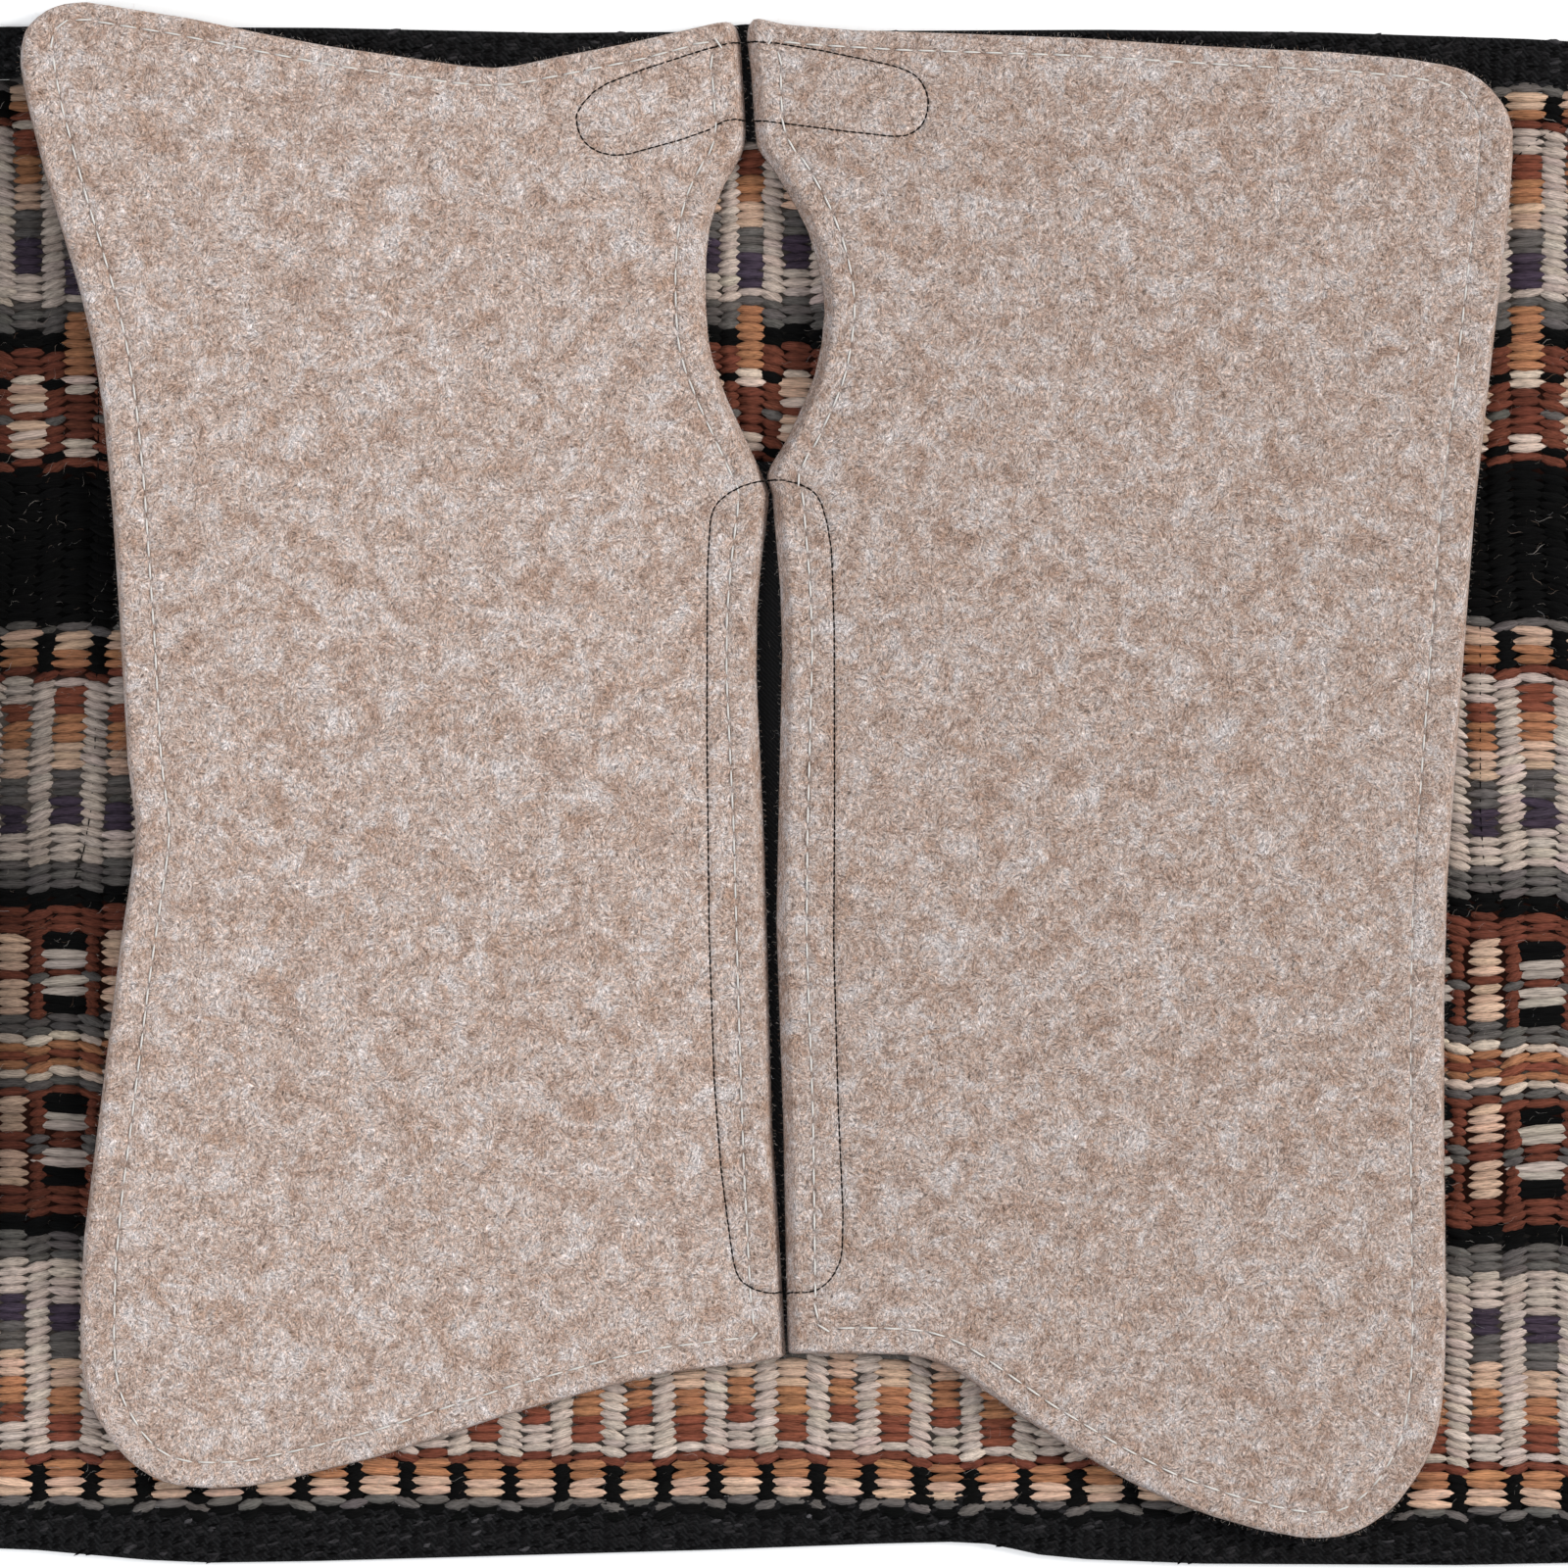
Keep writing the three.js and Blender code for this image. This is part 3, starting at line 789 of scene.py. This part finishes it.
def column_x(column, y):
    """Middle of a column of floats at a place along the pad; the columns drift a little."""
    spread = np.where(column > 0, 0.0287, -0.0118) * column ** 2
    x = COLUMN_ZERO + COLUMN_PITCH * column + spread
    front = np.clip((y + 60) / 260, 0, 1)
    front = front * front * (3 - 2 * front)
    middle = np.exp(-(x / 110) ** 2)
    drift = middle * (-22.7 - 0.167 * x) + (1 - middle) * (-0.021 * x)
    return x + front * drift


def row_y(row, x):
    """Middle of a weft row; the rows lag a little towards the back on the right."""
    y = WEAVE_FRONT - PICK * (row + 0.5)
    right = np.clip(x / 430, 0, 1.2)
    back = np.clip((400 - y) / 800, 0, 1)
    tight = np.clip((372 - y) / 100, 0, 1) * np.clip((y + 46) / 130, 0, 1)     # rows beaten closer
    y = y + tight * (4.0 + 2.7 * np.clip(x / 430, -1.3, 1.1)) - right * (2.0 + 4.6 * back)
    return y + 0.9 * np.sin(x / 37.0 + row * 0.05) + 0.5 * np.sin(x / 14 + row * 0.11)


def block_yarn(row, first, counts):
    row -= first
    for yarn, count in zip(BLOCK_YARNS, counts):
        if 0 <= row < count:
            return yarn
        row -= count
    return None


def float_of(pattern, ground, row, total, column):
    """The yarn, length share and width share of one float."""
    kind = column % 4            # 0 wide figure column, 2 narrow figure column, 1 and 3 ground
    figure = kind in (0, 2)
    if pattern.startswith("checks"):
        if not figure:
            return ground, 0.74, 1.0
        back = pattern == "checks_back"
        near_border = row >= total / 2 if back else row < total / 2
        return ("peach" if near_border else "tan"), 1.38, 1.04
    if pattern.startswith("blocks") and figure:
        step = total - 1 - row if pattern == "blocks_back" else row
        block = FRONT_BLOCKS[kind] if pattern == "blocks_front" else WIDE_BLOCK if kind == 0 else NARROW_BLOCK
        yarn = block_yarn(step, *block)
        if yarn:
            return yarn, (1.16 if kind == 0 else 0.93), 1.03
    if pattern == "tan_columns" and kind == 0 and not (ground == "grey" and row == 0):
        return "tan", 1.1, 1.03
    if pattern == "diamonds":
        step = min(row, total - 1 - row)
        if kind == 2:
            if step == 0:
                return "cream", 0.95, 1.0
            return ("peach" if row % 3 else "cream", 1.55, 1.05) if step < 4 else ("rust", 1.0, 1.0)
        if kind == 0:
            return ("cream" if step in (0, 1) else ground), (1.15 if step in (0, 1) else 1.0), 1.03
        return ("black" if step == 0 else "grey" if step == 4 else ground), 0.95, 1.0
    if pattern == "bars":
        step = min(row, total - 1 - row)
        if kind == 0 and step != 4:
            return ("black" if step < 2 else "pale"), (1.85 if step < 2 else 1.78), 1.04
        if kind == 2 and step != 4:
            return "peach", 0.98, 1.05
        if kind in (1, 3):
            return ("grey", 0.8, 0.9) if step == 4 else (ground, 0.58, 1.0)
    return ground, 1.0, 1.0


def all_floats():
    """Every float of one face: x, y, length share, width share and tint."""
    found = []
    row_at = 0
    for count, pattern, ground in BANDS:
        for row in range(count):
            for column in range(-COLUMNS_EACH_WAY, COLUMNS_EACH_WAY + 1):
                yarn, long, wide = float_of(pattern, ground, row, count, column)
                offset = 0.5 if column % 2 else 0.0
                y0 = WEAVE_FRONT - PICK * (row_at + 0.5)
                x = float(column_x(float(column), y0))
                y = float(row_y(row_at + offset - 0.25, x))
                pitch = float(column_x(column + 0.5, y0) - column_x(column - 0.5, y0))
                lean = (-0.3 if column % 4 == 1 else 0.26) if column % 2 else 0.0
                if column % 2:
                    long, wide = long * 0.84, wide * 1.04
                found.append((x, y, long * pitch / COLUMN_PITCH, wide, *YARNS[yarn], lean))
            row_at += 1
    return np.array(found)


def weave():
    floats = all_floats()
    reach = FLOAT_LENGTH / 2 * floats[:, 2]
    in_width = np.abs(floats[:, 0]) + reach * 0.8 < WEAVE_HALF_WIDTH
    floats, reach = floats[in_width], reach[in_width]
    count = len(floats)
    jitter = random.normal(0, 1, (count, 6))
    floats[:, 0] += jitter[:, 0] * 0.35
    floats[:, 1] += jitter[:, 1] * 0.22
    # Painted shade and light in the yarn tints: the left margin is darkened to 0.45 (0.57 at the front) except
    # towards the back. The yarns are also made lighter towards the back and the right, on top of 1.14 for all.
    front = np.clip((floats[:, 1] - 120) / 60, 0, 1)
    lit = np.clip((floats[:, 0] + 440) / 90 + np.clip((-230 - floats[:, 1]) / 60, 0, 2), 0, 1)
    shade = 0.45 + 0.12 * front + (0.55 - 0.12 * front) * lit
    shade *= 1.14 + 0.12 * np.clip((-300 - floats[:, 1]) / 60, 0, 1) + 0.06 * np.clip(floats[:, 0] / 400, 0, 1)
    tint = floats[:, 4:7] * (1 + 0.09 * jitter[:, [2]]) * (1 + 0.015 * jitter[:, 3:6]) * shade[:, None]
    size = np.column_stack([floats[:, 2] * (1 + 0.03 * jitter[:, 3]), floats[:, 3] * (1 + 0.05 * jitter[:, 4]),
                            1 + 0.12 * jitter[:, 5]])
    flat = floats[:, :2]
    slope = 0.05 * jitter[:, 0] + 0.10 * value_noise(flat, 46, 3) + floats[:, 7]
    beside = beside_spine(flat)
    spine_zone = np.abs(beside) < FOLD_REACH + reach + 1
    under_felt, under_leather = np.zeros(count, bool), np.zeros(count, bool)
    for side in SIDES:
        leather = anticlockwise(flat_loops(f"wear_leather_{side}", 0.0)[0])
        for covered, loop, deep in ((under_felt, felt_foot[side], HIDDEN_UNDER_FELT),
                                    (under_leather, leather, HIDDEN_UNDER_LEATHER)):
            loop = respaced(loop, 3)
            covered |= inside(flat, loop) & (distances(flat, tree_of(loop))[0] > deep)
    made = []
    for face, shown, height, turned in (("inner", ~under_felt, CLOTH_TOP + FLOAT_PROUD, 0),
                                        ("outer", ~under_leather, CLOTH_BOTTOM - FLOAT_PROUD, math.pi)):
        for name, side, where in (("left", "left", ~spine_zone & (beside < 0)), ("spine", None, spine_zone),
                                  ("right", "right", ~spine_zone & (beside > 0))):
            parts = [("", shown)]
            if face == "outer" and side:     # in three, as it has the most floats
                y = flat[:, 1]
                parts = [("_front", shown & (y > 130)), ("_middle", shown & (np.abs(y) <= 130)),
                         ("_back", shown & (y < -130))]
            for label, chosen in parts:
                picked = np.flatnonzero(where & chosen)
                lean, grown, shape = slope[picked], size[picked], YARN_FLOAT
                if side is None:
                    shape = SPINE_FLOAT
                    if face == "outer":          # straight and full, as the fold draws them out
                        lean = lean * 0.15
                        grown = np.clip(grown, (0.95, 0.95, 0.8), (1.1, 1.2, 1.3))
                turn = np.column_stack([np.full(len(picked), turned), np.zeros(len(picked)), lean])
                away = 0.22 * (1 if face == "inner" else -1) * jitter[picked, 2]
                points = np.column_stack([flat[picked], height + away])
                piece = set_out(f"weave_{face}_{name}{label}", shape, YARN, points, turn, grown, tint[picked])
                made.append(follow(piece, side, "weave"))
    return made


def ground_cloth():
    cloth = soft_slab("woven_top", [whole_outline("woven_top", WOVEN_FACE)], CLOTH_BOTTOM, CLOTH_TOP, 9.0, 4.0)
    edges, tints, at = [], [], WEAVE_FRONT
    for count, _, ground in BANDS:
        edges.append(at)
        tints.append(YARNS[ground])
        at -= count * PICK
    y = np.array([v.co.y for v in cloth.data.vertices]) / MM
    band = np.clip(np.searchsorted(-np.array(edges), -y) - 1, 0, len(tints) - 1)
    # Painted shade: the ground yarn gets a tenth of its colour, standing for the shadow between the floats.
    colours = np.column_stack([np.array(tints)[band] * 0.1, np.ones(len(y))])
    cloth.data.attributes.new("tint", "FLOAT_COLOR", "POINT").data.foreach_set("color", colours.ravel())
    flat_map = cloth.data.uv_layers.new(name="flat").data
    for loop in cloth.data.loops:
        flat_map[loop.index].uv = cloth.data.vertices[loop.vertex_index].co.xy
    wear(cloth, GROUND)
    return follow(cloth, None, "weave", "woven_top_left", "woven_top_right")


def border(name):
    """A bound edge: a rounded core with fine slanting floats over both its faces."""
    outline = whole_outline(name, WOVEN_FACE)
    core = wear(soft_slab(f"{name}_core", [outline], BORDER_BOTTOM, BORDER_TOP, 6.0, 2.5), BORDER)
    core = follow(core, None, "border", f"{name}_left", f"{name}_right")
    low, high = outline.min(0), outline.max(0)
    columns = np.arange(low[0], high[0], BORDER_COLUMN)
    grid = np.array([(x, y + (k % 2) * BORDER_PICK / 2) for k, x in enumerate(columns)
                     for y in np.arange(low[1], high[1], BORDER_PICK)])
    grid = grid[inside(grid, outline)]
    far, _ = distances(grid, tree_of(respaced(outline, 1.0)))
    grid, far = grid[far > 2.0], far[far > 2.0]
    count = len(grid)
    drop = 2.2 * (1 - np.sqrt(1 - (1 - np.minimum(far / 2.5, 1)) ** 2))
    jitter = random.normal(0, 1, (count, 4))
    grid = grid + jitter[:, :2] * 0.5
    size = np.column_stack([1 + 0.14 * jitter[:, 0], 1 + 0.12 * jitter[:, 1], 1 + 0.25 * np.abs(jitter[:, 2])])
    lean = (0.16 if "front" in name else 0.24) + 0.16 * jitter[:, 3] + 0.16 * value_noise(grid, 40, 8)
    tint = np.array(YARNS["border"]) * 0.9 * np.exp(0.75 * jitter[:, [1]])
    made = [core]
    for face, height, turned, way in (("inner", BORDER_TOP + 0.05, 0, -1),
                                     ("outer", BORDER_BOTTOM - 0.05, math.pi, 1)):
        points = np.column_stack([grid, height + way * drop])
        turn = np.column_stack([np.full(count, turned), np.zeros(count), lean])
        piece = set_out(f"{name}_{face}", FINE_FLOAT, YARN, points, turn, size, tint)
        made.append(follow(piece, None, "border"))
    return made


# ---- Felt and foam ----


def from_segment(points, start, end):
    """How far each point is from a straight line between two places."""
    start, along = np.array(start), np.subtract(end, start)
    share = np.clip((points - start) @ along / (along @ along), 0, 1)
    return np.linalg.norm(points - start - share[:, None] * along, axis=1)


def felt_half(side):
    foot = respaced(felt_foot[side], 2.5)
    facing = -inward(foot)[:, 0] * SIDES[side]
    slant = 1.1 + 1.3 * np.clip(facing, 0, 1) ** 2 + 3.2 * np.clip(-facing, 0, 1) ** 2
    for _ in range(6):
        slant = (np.roll(slant, 1) + slant + np.roll(slant, -1)) / 3
    depths = [np.full(len(foot), 0.35), slant * 0.5, slant, slant + 0.7, slant + 1.5, slant + 3.0]
    extra = [rings_inside([foot], [depth], 2.5) for depth in depths]
    row_trees = {}
    for row in GROOVES:
        line, closed = rows[row, side]
        fine = respaced(line, 0.5, closed)
        row_trees[row] = tree_of(fine)
        coarse = respaced(line, 2.5, closed)
        along = np.gradient(coarse, axis=0)
        along /= np.linalg.norm(along, axis=1)[:, None]
        across = np.column_stack([-along[:, 1], along[:, 0]])
        for shift in (-4.5, -2.0, -0.9, 0.0, 0.9, 2.0, 4.5):
            extra.append(coarse + across * shift)
    far_rows = tree_of(np.vstack([respaced(rows[row, side][0], 1.5, rows[row, side][1]) for row in GROOVES]))
    grid = grid_inside([foot], 5.0, 8.0)
    extra.append(grid[distances(grid, far_rows)[0] > 5.5])
    extra = np.vstack(extra)
    extra = extra[inside(extra, foot)]
    flat, faces = fill_outline([foot], extra)
    fine_foot = respaced(foot, 0.5)
    depth, near = distances(flat, tree_of(fine_foot))
    own_slant = np.interp(near / len(fine_foot), np.arange(len(foot)) / len(foot), slant)
    wall = np.clip(depth / own_slant, 0, 1)
    crown = np.clip((depth - own_slant) / FELT_ROUNDING, 0, 1)
    height = FELT_BOTTOM + 10.6 * wall ** 0.85 + (FELT_TOP - FELT_BOTTOM - 10.6) * (1 - (1 - crown) ** 2)
    wave = 0.45 * value_noise(flat, 34, 5) + 0.22 * value_noise(flat, 11, 9) - 0.35
    for start, end, deep, wide in CREASES:
        wave -= deep * np.exp(-(from_segment(flat, start, end) / wide) ** 2)
    for row, (deep, wide, pillow) in GROOVES.items():
        near_row, _ = distances(flat, row_trees[row])
        wave -= deep * np.exp(-(near_row / wide) ** 2) + pillow * np.exp(-(near_row / 5.0) ** 2)
    height += wave * np.clip(depth / 4, 0, 1)
    height[rim_of(faces, len(flat))] = FELT_BOTTOM
    count = len(flat)
    base_flat, base_faces = fill_outline([foot], grid_inside([foot], 20.0, 8.0))
    base = np.column_stack([base_flat, np.full(len(base_flat), FELT_BOTTOM)])
    points = np.vstack([np.column_stack([flat, height]), base])
    all_faces = [tuple(f) for f in faces] + [tuple(i + count for i in reversed(f)) for f in base_faces]
    made = new_object(f"felt_pad_{side}", smooth_mesh(f"felt_pad_{side}", points, all_faces))
    wear(close_up(made, merged=True), FELT)
    surface = tree_of(flat)
    follow(made, side, "felt", f"felt_{side}")
    return made, (lambda line: height[distances(line, surface)[1]])


def foam_core(side):
    loops = flat_loops(f"foam_core_{side}", 9.3)
    made = wear(soft_slab(f"foam_sheet_{side}", loops, FOAM_BOTTOM, FOAM_TOP, 14.0, 3.0), FOAM)
    follow(made, side, "foam", f"foam_core_{side}")
    return made


def strap(name):
    made = wear(soft_slab(name, [whole_outline(name, STRAP_TOP)], STRAP_BOTTOM, STRAP_TOP, 5.0, 3.0), STRAP)
    follow(made, None, "strap", f"{name}_left", f"{name}_right")
    return made


# ---- Stitches, leather and fibres ----


def felt_stitches(side, surface):
    line, closed = rows["felt_edge", side]
    inner = lay_stitches("inner_row", line, closed, lambda l: surface(l) + LIGHT_STITCH_PROUD
                         + 0.6 * value_noise(l, 26, 12) - 0.9 * (l[:, 0] > 300),      # deeper on the right
                         LIGHT_STITCH, LIGHT_STITCH_SHAPE, LIGHT_THREAD)
    outer = lay_stitches("outer_row", line, closed, CLOTH_BOTTOM - LIGHT_STITCH_PROUD, LIGHT_STITCH,
                         LIGHT_STITCH_SHAPE, LIGHT_THREAD)
    follow(join(f"felt_edge_stitches_{side}", [inner, outer]), side, "light_thread", f"felt_edge_thread_{side}")
    for row in ("front_tab", "spine_strip"):
        line, closed = rows[row, side]
        made = lay_stitches(f"{row}_stitches_{side}", line, closed, lambda l: surface(l) + BLACK_STITCH_PROUD,
                            BLACK_STITCH, BLACK_STITCH_SHAPE, BLACK_THREAD)
        follow(made, side, "black_thread", f"{row}_thread_{side}")


def wear_leather(side):
    outline = flat_loops(f"wear_leather_{side}", 0.0)[0]
    made = wear(soft_slab(f"wear_patch_{side}", [outline], LEATHER_BOTTOM, LEATHER_TOP, 8.0, 3.0), LEATHER)
    follow(made, side, "wear_leather", f"wear_leather_{side}")
    line, closed = rows["wear_leather", side]
    over, under = (lay_stitches(name, line, closed, height, LEATHER_STITCH, LEATHER_STITCH_SHAPE, BLACK_THREAD)
                   for name, height in (("over_row", CLOTH_TOP + 1.0), ("under_row", -0.95)))
    follow(join(f"wear_patch_stitches_{side}", [over, under]), side, "black_thread",
           f"wear_leather_thread_{side}")


def fibre_tints(count):
    shades = np.array([srgb(224, 212, 202), srgb(236, 228, 220), srgb(196, 172, 156), srgb(168, 132, 110),
                       srgb(205, 204, 208)])
    return shades[random.choice(len(shades), count, p=[0.34, 0.24, 0.2, 0.12, 0.1])]


def scatter_hairs(name, points, heading, tilt, long, side, slot="felt", shapes=HAIRS, darken=1.0):
    """Curled fibres at the points; heading and tilt are in radians, long in mm."""
    parts = []
    which = random.integers(0, len(shapes), len(points))
    tints = fibre_tints(len(points)) * darken
    for k, shape in enumerate(shapes):
        chosen = which == k
        roll = random.uniform(-0.6, 0.6, chosen.sum())
        turn = np.column_stack([roll, -tilt[chosen], heading[chosen]])
        size = np.column_stack([long[chosen]] * 3)
        parts.append(set_out(f"{name}_{k}", shape, HAIR, points[chosen], turn, size, tints[chosen]))
    return follow(join(name, parts), side, slot)


def felt_fibres(side, surface):
    foot = respaced(felt_foot[side], 2.0)
    low, high = foot.min(0), foot.max(0)
    loose = random.uniform(low, high, (17000, 2))
    loose = loose[inside(loose, foot)]
    far, _ = distances(loose, tree_of(foot))
    loose = loose[far > 6][:FIBRES_ON_FELT]
    points = np.column_stack([loose, surface(loose) - 0.05])
    count = len(points)
    scatter_hairs(f"felt_fibres_{side}", points, random.uniform(0, 2 * math.pi, count),
                  random.uniform(0.0, 0.12, count), random.uniform(2.2, 5.5, count), side)
    rim = respaced(felt_foot[side], 1.6)
    chosen = random.permutation(len(rim))[:FIBRES_ON_EDGE]
    push = -inward(rim)[chosen]
    base = rim[chosen] - push * random.uniform(0.0, 1.0, (len(chosen), 1))
    points = np.column_stack([base, random.uniform(FELT_BOTTOM + 0.6, FELT_BOTTOM + 9, len(base))])
    heading = np.arctan2(push[:, 1], push[:, 0]) + random.normal(0, 0.7, len(base))
    scatter_hairs(f"felt_edge_fibres_{side}", points, heading, random.uniform(-0.1, 0.5, len(base)),
                  random.uniform(1.2, 4.0, len(base)), side)


def loose_wool(side):
    """Stray wool that stands off the woven margins and the borders, and specks of lint."""
    points = random.uniform((-500, -440), (500, 440), (9000, 2))
    points = points[beside_spine(points) * SIDES[side] > 22]
    foot = respaced(felt_foot[side], 3)
    top = respaced(anticlockwise(flat_loops(f"woven_top_{side}", 6.0)[0]), 3)
    far, _ = distances(points, tree_of(foot))
    points = points[inside(points, top) & (~inside(points, foot) | (far < 3))][:LOOSE_WOOL]
    count = len(points)
    at = np.column_stack([points, np.full(count, CLOTH_TOP + 1.3)])
    heading = random.uniform(-0.9, 0.9, count) + math.pi * random.integers(0, 2, count)
    scatter_hairs(f"loose_wool_{side}", at, heading,
                  random.uniform(-0.02, 0.16, count), random.gamma(4.0, 1.5, count), side, "weave", LINTS, 0.5)
    count = STRAP_LINT
    gap = SPINE[0] + SIDES[side] * random.uniform(1, 6, count)
    y = random.uniform(-340, 190, count)
    at = np.column_stack([gap - SPINE[1] * y, y, np.full(count, STRAP_LINT_HEIGHT)])
    scatter_hairs(f"strap_lint_{side}", at, random.uniform(0, 6.28, count), random.uniform(0, 0.1, count),
                  random.gamma(3.0, 1.0, count), side, "weave", LINTS, 0.6)


# ---- Camera, light and floor ----


def camera_and_light():
    scene = bpy.context.scene
    scene.view_settings.view_transform = "Standard"
    scene.view_settings.look = "None"
    camera = bpy.data.objects.new("camera", bpy.data.cameras.new("camera"))
    scene.collection.objects.link(camera)
    camera.location = (0, 0, CAMERA_HEIGHT)
    camera.data.sensor_width = 36
    camera.data.lens = 36 * CAMERA_DISTANCE / FRAMED_WIDTH
    camera.data.clip_end = 50
    scene.camera = camera
    world = bpy.data.worlds.new("studio")
    scene.world = world
    world.use_nodes = True
    sky = world.node_tree.nodes["Background"].inputs
    sky["Color"].default_value = (0.93, 0.96, 1.0, 1)
    sky["Strength"].default_value = 0.45
    for name, place, size, power, colour in (
            ("key", (9.0, 2.0, 5.5), 3.0, 980, (1.0, 0.98, 0.95)),
            ("fill", (-2.4, -0.5, 2.6), 1.6, 46, (0.95, 0.97, 1.0))):
        light = bpy.data.lights.new(name, "AREA")
        light.energy, light.size, light.color = power, size, colour
        lamp = bpy.data.objects.new(name, light)
        scene.collection.objects.link(lamp)
        lamp.location = place
        lamp.rotation_euler = (-Vector(place)).to_track_quat("-Z", "Y").to_euler()
    floor = bpy.data.meshes.new("floor")
    half, below = 6.0, -0.0016
    floor.from_pydata([(-half, -half, below), (half, -half, below), (half, half, below), (-half, half, below)],
                      [], [(0, 1, 2, 3)])
    pale = Finish("pale_floor", 0.9)
    pale.shader.inputs["Base Color"].default_value = (0.93, 0.93, 0.93, 1)
    pale.shader.inputs["Emission Color"].default_value = (1, 1, 1, 1)
    pale.shader.inputs["Emission Strength"].default_value = 0.3
    floor.materials.append(pale.material)
    new_object("floor", floor)


camera_and_light()
cloth = ground_cloth()
yarns = weave()
borders = border("front_border") + border("back_border")
for side in SIDES:
    half, surface = felt_half(side)
    foam_core(side)
    felt_stitches(side, surface)
    felt_fibres(side, surface)
    loose_wool(side)
    wear_leather(side)
straps = [strap("front_tab"), strap("spine_strip")]
for shape in (YARN_FLOAT, SPINE_FLOAT, FINE_FLOAT, LIGHT_STITCH_SHAPE, BLACK_STITCH_SHAPE, LEATHER_STITCH_SHAPE,
              *HAIRS, *LINTS):
    bpy.data.objects.remove(shape)
